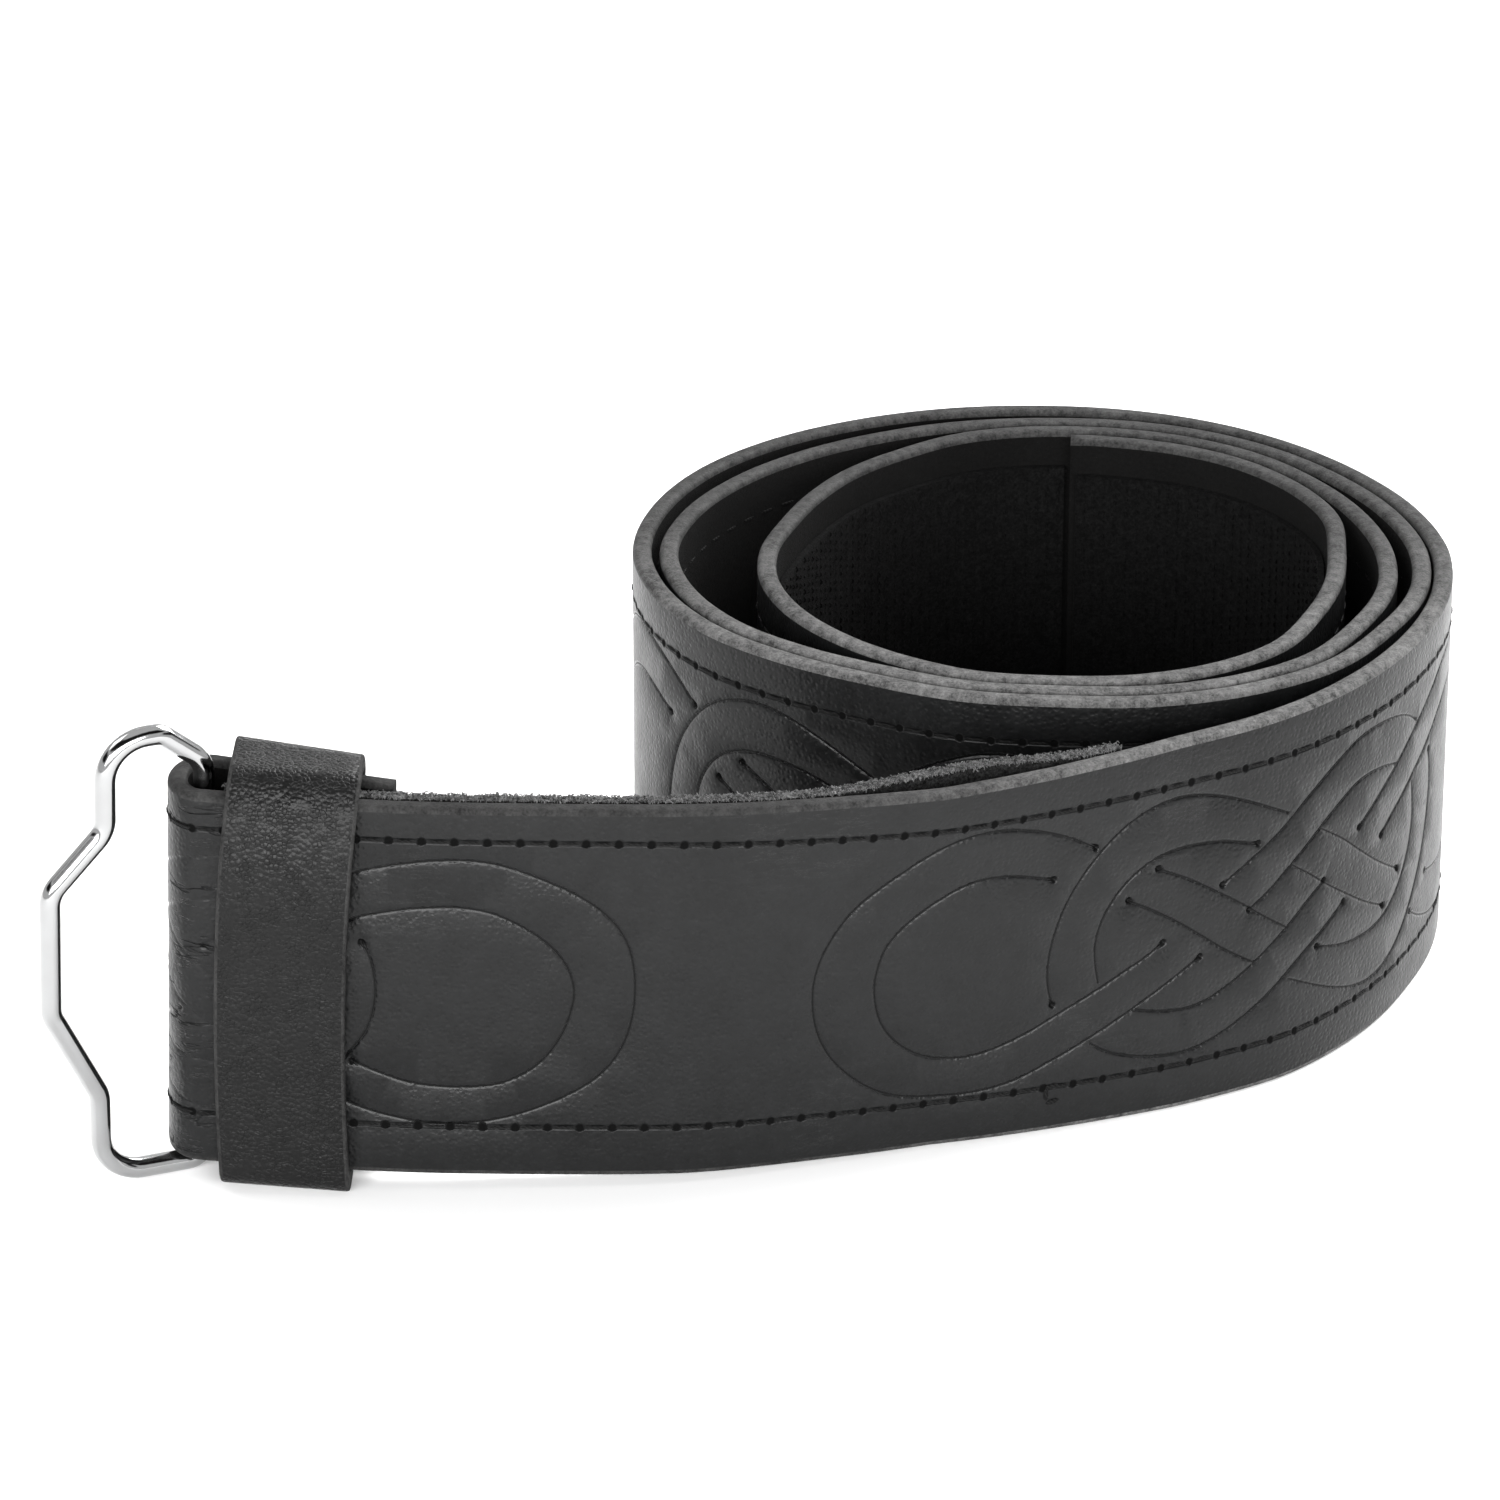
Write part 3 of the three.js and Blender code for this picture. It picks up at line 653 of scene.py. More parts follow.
def keeper_finish():
    """Glossier black leather with a pebbled grain."""
    finish = Finish("keeper_leather", IOR=1.27)
    pebbles = finish.cells(1500, "SMOOTH_F1", finish.place(), 0.6)
    valleys = finish.cells(1500, "DISTANCE_TO_EDGE")
    fine = finish.noise(2600, 3, None, 0.6)
    large = finish.noise(130, 3)
    valley = (1 - valleys.within(0.0, 0.12)) * finish.noise(420, 2).within(0.3, 0.7)
    tone = large * 0.7 + fine * 0.5 - 0.1
    colour = finish.mix(tone, grey(0.001), grey(0.007))
    finish.set(
        Base_Color=finish.mix(valley * 0.5, colour, grey(0.004)),
        Roughness=spread(0.33, (large, 0.16), (fine, 0.2)) + valley * 0.12,
    )
    relief = (1 - pebbles) * 0.7 - valley * 0.35 + fine * 0.25 + large * 0.5
    finish.set(Normal=finish.bump(relief, 0.0002))
    return finish.material


def chrome_finish():
    """Bright plated wire with faint polishing haze. Its colour is darker than the plating's own, a
    painted shade for dimmer reflections.
    """
    finish = Finish("ring_chrome", Metallic=1.0)
    haze = finish.noise(260, 3)
    wear = finish.noise(1100, 3, finish.stretched(1, 1, 0.2))
    finish.set(
        # Painted shade: the base colour is kept darker than bright plating, so the mirrored floor
        # looks greyer.
        Base_Color=finish.mix(haze, grey(0.34), grey(0.40, -0.01)),
        Roughness=0.06 + haze.within(0.35, 0.8) * 0.06 + wear * 0.03,
    )
    finish.set(Normal=finish.bump(wear * 0.3 + haze, 0.00002))
    return finish.material


def tape_finish(name, low, high, scale):
    """Black hook or loop tape: a woven ground under its pile."""
    finish = Finish(name, Roughness=1.0, IOR=1.2)
    pile = finish.noise(scale, 5, None, 0.8)
    clumps = finish.noise(scale * 0.4, 2)
    tone = spread(0.4, (pile, 2.4), (clumps, 0.6))
    finish.set(Base_Color=finish.mix(tone.within(0.0, 1.0), grey(low), grey(high)))
    finish.set(Normal=finish.bump(pile + clumps * 0.4, 0.0005))
    return finish.material


def thread_finish():
    """Black waxed thread, with its strands' twist."""
    finish = Finish("thread", Roughness=0.75, IOR=1.25)
    strands = finish.node("ShaderNodeTexWave", {"bands_direction": "DIAGONAL"},
                          {"Vector": finish.place(), "Scale": 700.0, "Distortion": 1.5})
    finish.set(Base_Color=finish.mix(strands, grey(0.001), grey(0.006)))
    finish.set(Normal=finish.bump(strands, 0.00008))
    return finish.material


STRAP_LEATHER = leather_finish()
CUT_EDGE = cut_edge_finish("cut_edge")
FLESH_SIDE = flesh_side_finish()
KEEPER_LEATHER = keeper_finish()
RING_CHROME = chrome_finish()
PILE_TAPE = tape_finish("pile_tape", 0.003, 0.05, 2600)
HOOK_GROUND = tape_finish("hook_ground", 0.0008, 0.009, 2200)
THREAD = thread_finish()


# The strap, with its pressed lines as real relief


def smooth_line(points, step):
    """Points a step apart on a smooth curve through given points."""
    points = np.array(points, float)
    ends = np.vstack([2 * points[0] - points[1], points, 2 * points[-1] - points[-2]])
    fine = []
    for i in range(1, len(ends) - 2):
        a, b, c, d = curve_between(*ends[i - 1:i + 3])
        for t in np.linspace(0, 1, 9)[:-1]:
            fine.append(a * t ** 3 + b * t ** 2 + c * t + d)
    fine.append(points[-1])
    fine = np.array(fine)
    reach = np.concatenate([[0], np.cumsum(np.linalg.norm(np.diff(fine, axis=0), axis=1))])
    count = max(int(round(reach[-1] / step)), 2)
    at = np.linspace(0, reach[-1], count + 1)
    return np.stack([np.interp(at, reach, fine[:, k]) for k in range(2)], 1)


def knot_grooves(first):
    """The lines and dots of one knot, in metres from its middle."""
    own = FIRST_KNOT_LINES if first else []
    drawn = [(points, 1, *dots) for points, *dots in KNOT_LINES + own]
    drawn += [(points, -1, *dots) for points, *dots in KNOT_LINES[len(own):]]
    lines, dots = [], []
    for points, turned, dot_first, dot_last in drawn:
        line = turned * smooth_line(points, LINE_STEP) / 1000
        lines.append(line)
        dots += [line[0]] if dot_first else []
        dots += [line[-1]] if dot_last else []
    return lines, np.array(dots)


def groove_depth(points, lines, dots):
    """How deep the face is pressed at each point."""
    nearest = np.full(len(points), 1.0)
    for line in lines:
        a, b = line[:-1], line[1:]
        ab = b - a
        for first in range(0, len(points), 4000):
            part = points[first:first + 4000]
            t = ((part[:, None] - a) * ab).sum(-1) / (ab * ab).sum(-1)
            foot = a + ab * np.clip(t, 0, 1)[..., None]
            away = np.linalg.norm(part[:, None] - foot, axis=-1).min(1)
            nearest[first:first + 4000] = np.minimum(nearest[first:first + 4000], away)
    share = np.clip(1 - nearest / GROOVE_HALF, 0, 1)
    depth = GROOVE_DEPTH * share
    if len(dots):
        away = np.linalg.norm(points[:, None] - dots, axis=-1).min(1)
        share = np.clip(1.25 - 1.25 * away / DOT_RADIUS, 0, 1)
        depth = np.maximum(depth, DOT_DEPTH * share * share * (3 - 2 * share))
    return depth


EDGE_ROUND = 0.0009
# The cut edge from the outer face to the inner, with rounded corners: inward and up.
CORNER = [(0, 1), (0.07, 0.6), (0.28, 0.28), (0.6, 0.07), (1, 0)]
CORNER = [(EDGE_ROUND * inward, EDGE_ROUND * up) for inward, up in CORNER]
EDGE_PROFILE = [*CORNER, (LEATHER / 2, 0)]
EDGE_PROFILE += [(LEATHER - inward, up) for inward, up in CORNER[::-1]]
EDGE_ROUGHNESS = 0.00001
# Heights of the mesh's points on both faces, and the stretch where its stations are closer.
FACE_ROWS = np.array([EDGE_ROUND, 0.004, 0.0095, 0.015, 0.021, 0.0285, 0.036, 0.042, 0.0475,
                      0.053, STRAP_WIDTH - EDGE_ROUND])
FOLD_SPAN = (0.0250, RUN_START + 0.002)
STATION_PITCH = 0.0022


def stations():
    """Places along the strap where its mesh has a row of points, closer in the fold."""
    before = np.linspace(0, FOLD_SPAN[0], 12)[:-1]
    fold = np.linspace(*FOLD_SPAN, 29)[:-1]
    count = int((STRAP_LENGTH - FOLD_SPAN[1]) / STATION_PITCH)
    return np.concatenate([before, fold, np.linspace(FOLD_SPAN[1], STRAP_LENGTH, count)])


STATIONS = stations()
# How far the two cut edges are from even: the lower one, then the upper one.
EDGE_WOBBLE = abs(np.random.default_rng(4).normal(0, EDGE_ROUGHNESS, (2, len(STATIONS))))


def flat_triangles(spots, edges, kind, nearness, clockwise=False):
    """Points and triangles of a flat mesh through spots and along edges.

    All triangles are turned alike, and slivers without area are left out.
    """
    made = delaunay_2d_cdt([Vector(v) for v in spots], edges, [], kind, nearness)
    points = np.array([tuple(v) for v in made[0]])
    faces = np.array([f for f in made[2] if len(f) == 3])
    corner = points[faces]
    ab, ac = corner[:, 1] - corner[:, 0], corner[:, 2] - corner[:, 0]
    turned = ab[:, 0] * ac[:, 1] - ab[:, 1] * ac[:, 0]
    wrong = turned > 0 if clockwise else turned < 0
    faces[wrong] = faces[wrong][:, ::-1]
    return points, faces[abs(turned) > 1e-13]


def pressed_face(low, high, lines, dots):
    """Flat mesh of the outer face between two stations, cut along the pressed lines."""
    places = STATIONS[(STATIONS >= low - 1e-9) & (STATIONS <= high + 1e-9)]
    grid = np.stack(np.meshgrid(places, FACE_ROWS, indexing="ij"), -1)
    verts = [tuple(p) for p in grid.reshape(-1, 2)]
    rows = len(FACE_ROWS)
    edges = []
    for i in range(len(places) - 1):
        edges += [(i * rows, (i + 1) * rows), ((i + 1) * rows - 1, (i + 2) * rows - 1)]
    for j in range(rows - 1):
        edges += [(j, j + 1), (len(verts) - rows + j, len(verts) - rows + j + 1)]
    low, high = low + BORDER_MARGIN, high - BORDER_MARGIN
    for line in lines:
        ahead = unit(np.gradient(line, axis=0))
        side = np.stack([-ahead[:, 1], ahead[:, 0]], 1)
        for shift in GROOVE_TRACKS:
            track = line + side * shift * GROOVE_HALF
            inside = (track[:, 0] > low) & (track[:, 0] < high)
            previous = None
            for point, keep in zip(track, inside):
                if keep:
                    verts.append(tuple(point))
                    if previous is not None:
                        edges.append((previous, len(verts) - 1))
                    previous = len(verts) - 1
                else:
                    previous = None
    for dot in dots:
        if low < dot[0] < high:
            for radius in DOT_RINGS:
                for k in range(DOT_SIDES):
                    turn = math.tau * (k + radius) / DOT_SIDES
                    verts.append((dot[0] + DOT_RADIUS * radius * math.cos(turn),
                                  dot[1] + DOT_RADIUS * radius * math.sin(turn)))
    return flat_triangles(verts, edges, 0, 1e-6)


def stitch_rows(along):
    """Heights of the lower and the upper row of stitches."""
    rows = np.array(STITCH_ROWS)
    return [np.interp(along, rows[:, 0], rows[:, k]) for k in (1, 2)]


def grid_quads(rows, count):
    """Quads between rows of points, with count points in each row."""
    return [[a, a + count, a + count + 1, a + 1] for k in range(rows - 1)
            for a in range(k * count, (k + 1) * count - 1)]


class StrapShell:
    """The strap's mesh, put together from its faces, edges and ends."""

    def __init__(self):
        self.verts, self.places, self.depths, self.faces, self.marks = [], [], [], [], []

    def add(self, along, up, inward, faces, mark, depth=0):
        """Adds points and faces. mark is the material's number, depth how far it is pressed."""
        base = sum(len(verts) for verts in self.verts)
        self.verts.append(on_strap(along, up, inward))
        self.places.append(np.stack([along, up], 1))
        self.depths.append(np.broadcast_to(depth, (len(along),)))
        self.faces.extend((np.array(faces) + base).tolist())
        self.marks.extend([mark] * len(faces))

    def add_pressed_face(self):
        """The outer face, one tile for each knot."""
        ends = [0.0, *(middle - KNOT_PITCH / 2 for middle in KNOT_MIDDLES[1:]), STRAP_LENGTH]
        ends = [float(STATIONS[np.argmin(abs(STATIONS - end))]) for end in ends]
        for low, high, middle in zip(ends[:-1], ends[1:], KNOT_MIDDLES):
            place = np.array([middle, KNOT_MIDDLE_UP])
            lines, dots = knot_grooves(middle == KNOT_MIDDLES[0])
            lines, dots = [line + place for line in lines], dots + place
            lines = [line for line in lines if line[:, 0].max() > low and line[:, 0].min() < high]
            points, triangles = pressed_face(low, high, lines, dots)
            along, up = points.T
            depth = groove_depth(points, lines, dots) * np.interp(along, *zip(*GROOVE_IN_FOLD))
            depth[(along < low + 1e-6) | (along > high - 1e-6)] = 0
            self.add(along, up, depth, triangles, 0, depth)

    def add_edges_and_inner_face(self):
        rows, count = len(EDGE_PROFILE), len(STATIONS)
        inward, up = np.repeat(EDGE_PROFILE, count, 0).T
        for side, wobble in enumerate(EDGE_WOBBLE):
            rough = np.zeros((rows, count))
            rough[1:-1] = wobble
            height = STRAP_WIDTH - up - rough.ravel() if side else up + rough.ravel()
            quads = [quad[::-1] if side else quad for quad in grid_quads(rows, count)]
            self.add(np.tile(STATIONS, rows), height, inward, quads, 1)
        rows = len(FACE_ROWS)
        self.add(np.tile(STATIONS, rows), np.repeat(FACE_ROWS, count),
                 np.full(rows * count, LEATHER), grid_quads(rows, count), 2)

    def add_cut_ends(self):
        rows, corners = FACE_ROWS[1:-1], len(EDGE_PROFILE)
        outline = EDGE_PROFILE + [(LEATHER, up) for up in rows]
        outline += [(inward, STRAP_WIDTH - up) for inward, up in EDGE_PROFILE[::-1]]
        outline += [(0, up) for up in rows[::-1]]
        size = len(outline)
        loop = [(i, (i + 1) % size) for i in range(size)]
        for end in (0, -1):
            inward, height = np.array(outline + [(LEATHER / 2, up) for up in rows]).T
            height[1:corners - 1] += EDGE_WOBBLE[0, end]
            height[corners + len(rows) + 1:2 * corners + len(rows) - 1] -= EDGE_WOBBLE[1, end]
            spots, triangles = flat_triangles(np.stack([inward, height], 1), loop, 1, 1e-7,
                                              clockwise=end == 0)
            self.add(np.full(len(spots), STATIONS[end]), spots[:, 1], spots[:, 0], triangles, 1)

    def piece(self):
        made = new_piece("strap_piece", np.vstack(self.verts), self.faces,
                         [STRAP_LEATHER, CUT_EDGE, FLESH_SIDE], self.marks)
        mesh, places = made.data, np.vstack(self.places)
        corner = np.zeros(len(mesh.loops), np.int32)
        mesh.loops.foreach_get("vertex_index", corner)
        mesh.uv_layers.new(name="run").data.foreach_set("uv", places[corner].ravel())
        low_row, high_row = stitch_rows(places[:, 0])
        for label, values in (("pressed", np.concatenate(self.depths) / GROOVE_DEPTH),
                              ("over_low_row", places[:, 1] - low_row),
                              ("over_high_row", places[:, 1] - high_row)):
            mesh.attributes.new(label, "FLOAT", "POINT").data.foreach_set("value", values)
        with_bmesh(mesh, lambda shape: bmesh.ops.remove_doubles(
            shape, verts=shape.verts, dist=2e-6))
        return made


def with_bmesh(mesh, change):
    """Lets a function change a mesh as a bmesh."""
    shape = bmesh.new()
    shape.from_mesh(mesh)
    change(shape)
    shape.to_mesh(mesh)
    shape.free()


def make_strap():
    shell = StrapShell()
    shell.add_pressed_face()
    shell.add_edges_and_inner_face()
    shell.add_cut_ends()
    return shell.piece()


strap = make_strap()


# Stitches


def growing_tree(name, draw, sides, least, most):
    """A Geometry Nodes tree that sets a bent thread on every point, with named inputs.

    draw makes the thread's line from the Length and Radius inputs. sides is the number of sides
    of its section, and least and most limit the random share of its size.
    """
    tree = bpy.data.node_groups.new(name, "GeometryNodeTree")
    for label, kind, way in (("Geometry", "Geometry", "INPUT"), ("Material", "Material", "INPUT"),
                             ("Length", "Float", "INPUT"), ("Radius", "Float", "INPUT"),
                             ("Seed", "Int", "INPUT"), ("Geometry", "Geometry", "OUTPUT")):
        tree.interface.new_socket(label, in_out=way, socket_type="NodeSocket" + kind)
    nodes = Nodes(tree)
    source = tree.nodes.new("NodeGroupInput")
    points, material, length, radius, seed = (Value(nodes, s) for s in source.outputs[:5])
    section = nodes.node("GeometryNodeCurvePrimitiveCircle", None,
                         {"Resolution": sides, "Radius": radius})
    thread = nodes.node("GeometryNodeCurveToMesh", None, {
        "Curve": draw(nodes, length, radius), "Profile Curve": section, "Fill Caps": True,
    })
    # The marks turn each thread: X ahead and Z out.
    ahead, out = (nodes.node("GeometryNodeInputNamedAttribute", {"data_type": "FLOAT_VECTOR"},
                             {0: label}) for label in ("ahead", "out"))
    turn = nodes.node("FunctionNodeAlignRotationToVector", {"axis": "X"}, {"Vector": ahead})
    turn = nodes.node("FunctionNodeAlignRotationToVector", {"axis": "Z", "pivot_axis": "X"},
                      {"Rotation": turn, "Vector": out})
    size = nodes.node("FunctionNodeRandomValue", {"data_type": "FLOAT"},
                      {2: least, 3: most, "Seed": seed}, 1)
    threads = nodes.node("GeometryNodeInstanceOnPoints", None, {
        "Points": points, "Instance": thread, "Rotation": turn, "Scale": size,
    })
    real = nodes.node("GeometryNodeRealizeInstances", None, {0: threads})
    dressed = nodes.node("GeometryNodeSetMaterial", None, {0: real, "Material": material})
    nodes.feed(tree.nodes.new("NodeGroupOutput").inputs[0], dressed)
    return tree


def draw_stitch(nodes, length, radius):
    """A thread that comes out of one hole and goes into the next."""
    back, ahead = length * -0.5, length * 0.5
    sink, rise = radius * STITCH_SINK, radius * STITCH_RISE
    start, near, far, end = (
        nodes.node("ShaderNodeCombineXYZ", None, {0: x, 2: z})
        for x, z in ((back, sink), (back, rise), (ahead, rise), (ahead, sink))
    )
    return nodes.node("GeometryNodeCurvePrimitiveBezierSegment", None, {
        "Resolution": 5, "Start": start, "Start Handle": near, "End Handle": far, "End": end,
    })


def draw_fibre(nodes, length, _):
    """A fibre or a hook that rises and bends over."""
    top = nodes.node("ShaderNodeCombineXYZ", None, {0: length * 0.55, 2: length})
    tip = nodes.node("ShaderNodeCombineXYZ", None, {0: length})
    return nodes.node("GeometryNodeCurveQuadraticBezier", None,
                      {"Resolution": 3, "Start": (0, 0, 0), "Middle": top, "End": tip})


def grow(name, base, tree, values):
    """The plain mesh that a tree makes on a base object. The base is removed."""
    modifier = base.modifiers.new("grow", "NODES")
    modifier.node_group = tree
    for item in tree.interface.items_tree:
        if item.in_out == "INPUT" and item.name in values:
            modifier[item.identifier] = values[item.name]
    bpy.context.view_layer.update()
    made = base.evaluated_get(bpy.context.evaluated_depsgraph_get())
    mesh = bpy.data.meshes.new_from_object(made)
    base.modifiers.remove(modifier)
    bpy.data.objects.remove(base)
    mesh.name = name
    return new_object(name, mesh)


def marked_points(name, places, ahead, out):
    """Loose points that carry the way ahead and the way out of the surface."""
    base = new_piece(name, places, [], [])
    for label, rows in (("ahead", ahead), ("out", out)):
        layer = base.data.attributes.new(label, "FLOAT_VECTOR", "POINT")
        layer.data.foreach_set("vector", np.asarray(rows, float).ravel())
    return base


def make_stitches():
    """Both rows of stitches, on the outer and the inner face."""
    places, ahead, out = [], [], []
    first = STITCH_PHASE + STITCH_PITCH / 2
    middles = np.arange(first, STRAP_LENGTH - STITCH_PITCH / 2, STITCH_PITCH)
    for row in stitch_rows(middles):
        for inward, face in ((THREAD_DEPTH, 1), (LEATHER - THREAD_DEPTH, -1)):
            places.append(on_strap(middles, row, inward))
            ahead.append(unit(on_strap(middles + 0.0005, row, inward)
                              - on_strap(middles - 0.0005, row, inward)))
            out.append(face * out_of_strap(middles, row))
    base = marked_points("stitch_points", np.vstack(places), np.vstack(ahead), np.vstack(out))
    return grow("stitches", base, STITCHES, {
        "Material": THREAD, "Length": STITCH_LENGTH, "Radius": THREAD_RADIUS, "Seed": 3,
    })


def make_back_stitch():
    """Three short threads under the lower row."""
    along, up, right, rise = (np.array(column) for column in zip(*BACK_STITCHES))
    way = on_strap(along + 0.001 * right, up + 0.001 * rise, 0) - on_strap(along, up, 0)
    base = marked_points("back_stitch_points", on_strap(along, up, BACK_STITCH_DEPTH), unit(way),
                         out_of_strap(along, up))
    return grow("back_stitch", base, STITCHES, {
        "Material": THREAD, "Length": BACK_STITCH_LENGTH, "Radius": BACK_STITCH_RADIUS,
        "Seed": 5,
    })


STITCHES = growing_tree("stitches", draw_stitch, 6, 0.92, 1.06)
stitches = make_stitches()
back_stitch = make_back_stitch()


# Closed bands that follow the strap, for the tapes


def band(name, along, near, thick, low, high, material, across=12):
    """A closed band between two depths. near may change along the band."""
    count = len(along)
    near = np.broadcast_to(near, (count,))
    heights = np.linspace(low, high, across + 1)
    section = [(0, h) for h in heights] + [(1, h) for h in heights[::-1]]
    size = len(section)
    verts = []
    for depth, height in section:
        verts.append(on_strap(along, height, near + depth * thick))
    verts = np.stack(verts, 1).reshape(-1, 3)
    faces = []
    for i in range(count - 1):
        for k in range(size):
            a, b = i * size + k, i * size + (k + 1) % size
            faces.append((a, a + size, b + size, b))
    for end, i in ((0, 0), (1, count - 1)):
        for k in range(across):
            a, b = i * size + k, i * size + k + 1
            c, d = i * size + size - 2 - k, i * size + size - 1 - k
            faces.append((a, b, c, d) if end == 0 else (d, c, b, a))
    return new_piece(name, verts, faces, [material], smooth=False)


LOOP_FROM = RUN_START + TAPE_END_MARGIN
LOOP_TO = LOOP_FROM + LOOP_TAPE_LENGTH


def loop_tape_near(along):
    """Depth of the loop tape's side on the strap: it bulges off it near its far end."""
    bulge_length = LOOP_TAPE_LENGTH * LOOP_TAPE_BULGE_SHARE
    into = np.clip((along - LOOP_TO + bulge_length) / bulge_length, 0, 1)
    return TAPE_NEAR + LOOP_TAPE_BULGE * np.sin(math.pi * into) ** 2


FIBRES = growing_tree("fibres", draw_fibre, 3, 0.6, 1.25)


def pile(name, count, seed, thick, heights, where, length, radius, material):
    """Fibres on the loop tape: on its edges, or on the side that faces inwards.

    thick is the tape's thickness that they stand in. The lower edge has them only where the
    strap is clear of the floor.
    """
    rng = np.random.default_rng(seed)
    along = rng.uniform(LOOP_FROM, LOOP_TO, count)
    near = loop_tape_near(along)
    far = near + thick
    if where == "edges":
        over = rng.uniform(-0.1, 1.1, count)
        top = (rng.random(count) < 0.7) | (along > CLEAR_OF_FLOOR)
        inward = near + (far - near) * over
        up = np.where(top, heights[1], heights[0])
        out = np.where(top, 1.0, -1.0)[:, None] * np.array([0, 0, 1.0])
    else:
        inward = far
        up = rng.uniform(*heights, count)
        out = -out_of_strap(along, up)
    out = unit(out + rng.normal(0, 0.45, (count, 3)))
    ahead = unit(np.cross(out, rng.normal(0, 1, (count, 3))))
    base = marked_points(name + "_points", on_strap(along, up, inward), ahead, out)
    return grow(name, base, FIBRES, {
        "Material": material, "Length": length, "Radius": radius, "Seed": seed,
    })


def tape_heights(name):
    """Where a tape's lower and upper edge lie over the strap's lower edge."""
    margin = TAPE_MARGINS[name]
    return margin, STRAP_WIDTH - margin


# The edge fibres are lighter than the tape's own black fibres: a painted sheen where light catches
# the fuzz on the tape's edges.
SHEEN_PILE_FIBRE = tape_finish("sheen_pile_fibre", 0.02, 0.32, 2000)

LOOP_PLACES = np.linspace(LOOP_FROM, LOOP_TO, 66)
loop_tape = band("loop_tape_piece", LOOP_PLACES, loop_tape_near(LOOP_PLACES), LOOP_TAPE,
                 *tape_heights("loop_tape"), PILE_TAPE)
loop_pile = pile("loop_pile", EDGE_FIBRES, 11, LOOP_TAPE, tape_heights("loop_tape"), "edges",
                 EDGE_FIBRE_LENGTH, EDGE_FIBRE_RADIUS, SHEEN_PILE_FIBRE)
loop_face = pile("loop_face", FACE_FIBRES, 12, LOOP_TAPE - ROOT, FACE_FIBRE_HEIGHTS, "face",
                 FACE_FIBRE_LENGTH, FACE_FIBRE_RADIUS, PILE_TAPE)

HOOK_FROM, HOOK_TO = TAPE_END_MARGIN, TAIL_LENGTH - TAPE_END_MARGIN
hook_tape = band("hook_tape_piece", np.linspace(HOOK_FROM, HOOK_TO, 14), TAPE_NEAR, HOOK_TAPE,
                 *tape_heights("hook_tape"), HOOK_GROUND)

END_ANGLES = np.where(PATH[:, 7] > INNER_END_ANGLE - 360)[0]
END_FROM = float(PATH_ALONG[END_ANGLES[0]]) + END_TAPE_MARGINS[0]
END_TO = STRAP_LENGTH - END_TAPE_MARGINS[1]
end_tape = band("end_tape_piece", np.linspace(END_FROM, END_TO, 110), TAPE_NEAR, END_GROUND,
                *tape_heights("end_tape"), HOOK_GROUND)


def hooks(name, span, near, heights, pitch_up, seed):
    """Columns of small hooks that stand on a tape."""
    along, up = np.meshgrid(np.arange(span[0] + 0.001, span[1] - 0.0005, HOOK_COLUMNS),
                            np.arange(heights[0] + 0.0008, heights[1] - 0.0005, pitch_up))
    along, up = along.ravel(), up.ravel()
    column = np.round(along / HOOK_COLUMNS).astype(int) % 2
    ahead = np.where(column == 0, 1.0, -1.0)[:, None] * np.array([0, 0, 1.0])
    base = marked_points(name + "_points", on_strap(along, up, near), ahead,
                         -out_of_strap(along, up))
    return grow(name, base, FIBRES, {
        "Material": HOOK_GROUND, "Length": HOOK_LENGTH, "Radius": HOOK_RADIUS, "Seed": seed,
    })


end_hooks = hooks("end_hooks", (END_FROM, END_TO), TAPE_NEAR + END_GROUND - ROOT,
                  tape_heights("end_tape"), END_HOOK_PITCH, seed=21)
tail_hooks = hooks("tail_hooks", (HOOK_FROM, HOOK_TO), TAPE_NEAR + HOOK_TAPE - ROOT,
                   tape_heights("hook_tape"), TAIL_HOOK_PITCH, seed=22)


# Keeper


def keeper_section(depth, height, count=7):
    """Closed outline of the band's section: y towards the tail, z up. The foot is in front."""
    y, z = depth / 2, height / 2
    points = []
    corners = [(1, -1, KEEPER_CORNER, -90), (1, 1, KEEPER_CORNER, 0), (-1, 1, KEEPER_CORNER, 90),
               (-1, -1, KEEPER_FOOT_CORNER, 180)]
    for side_y, side_z, radius, first in corners:
        for k in range(count):
            turn = math.radians(first + 90 * k / (count - 1))
            points.append((side_y * (y - radius) + radius * math.cos(turn),
                           side_z * (z - radius) + radius * math.sin(turn)))
    closed = points + points[:1]
    outline = []
    for (ay, az), (by, bz) in zip(closed[:-1], closed[1:]):
        pieces = max(int(math.hypot(by - ay, bz - az) / KEEPER_SIDE), 1)
        outline += [(ay + (by - ay) * i / pieces, az + (bz - az) * i / pieces)
                    for i in range(pieces)]
    return np.array([(py, pz + z) for py, pz in outline])


def stood_by_fold(x, y, z, place, lean):
    """Points that are leant towards the coil, turned in line with the run and put in place."""
    leant_x = x * math.cos(lean) + z * math.sin(lean)
    leant_z = -x * math.sin(lean) + z * math.cos(lean)
    cosine, sine = math.cos(FOLD_TURN), math.sin(FOLD_TURN)
    return np.stack([
        place[0] + leant_x * cosine - y * sine, place[1] + leant_x * sine + y * cosine, leant_z,
    ], 1)


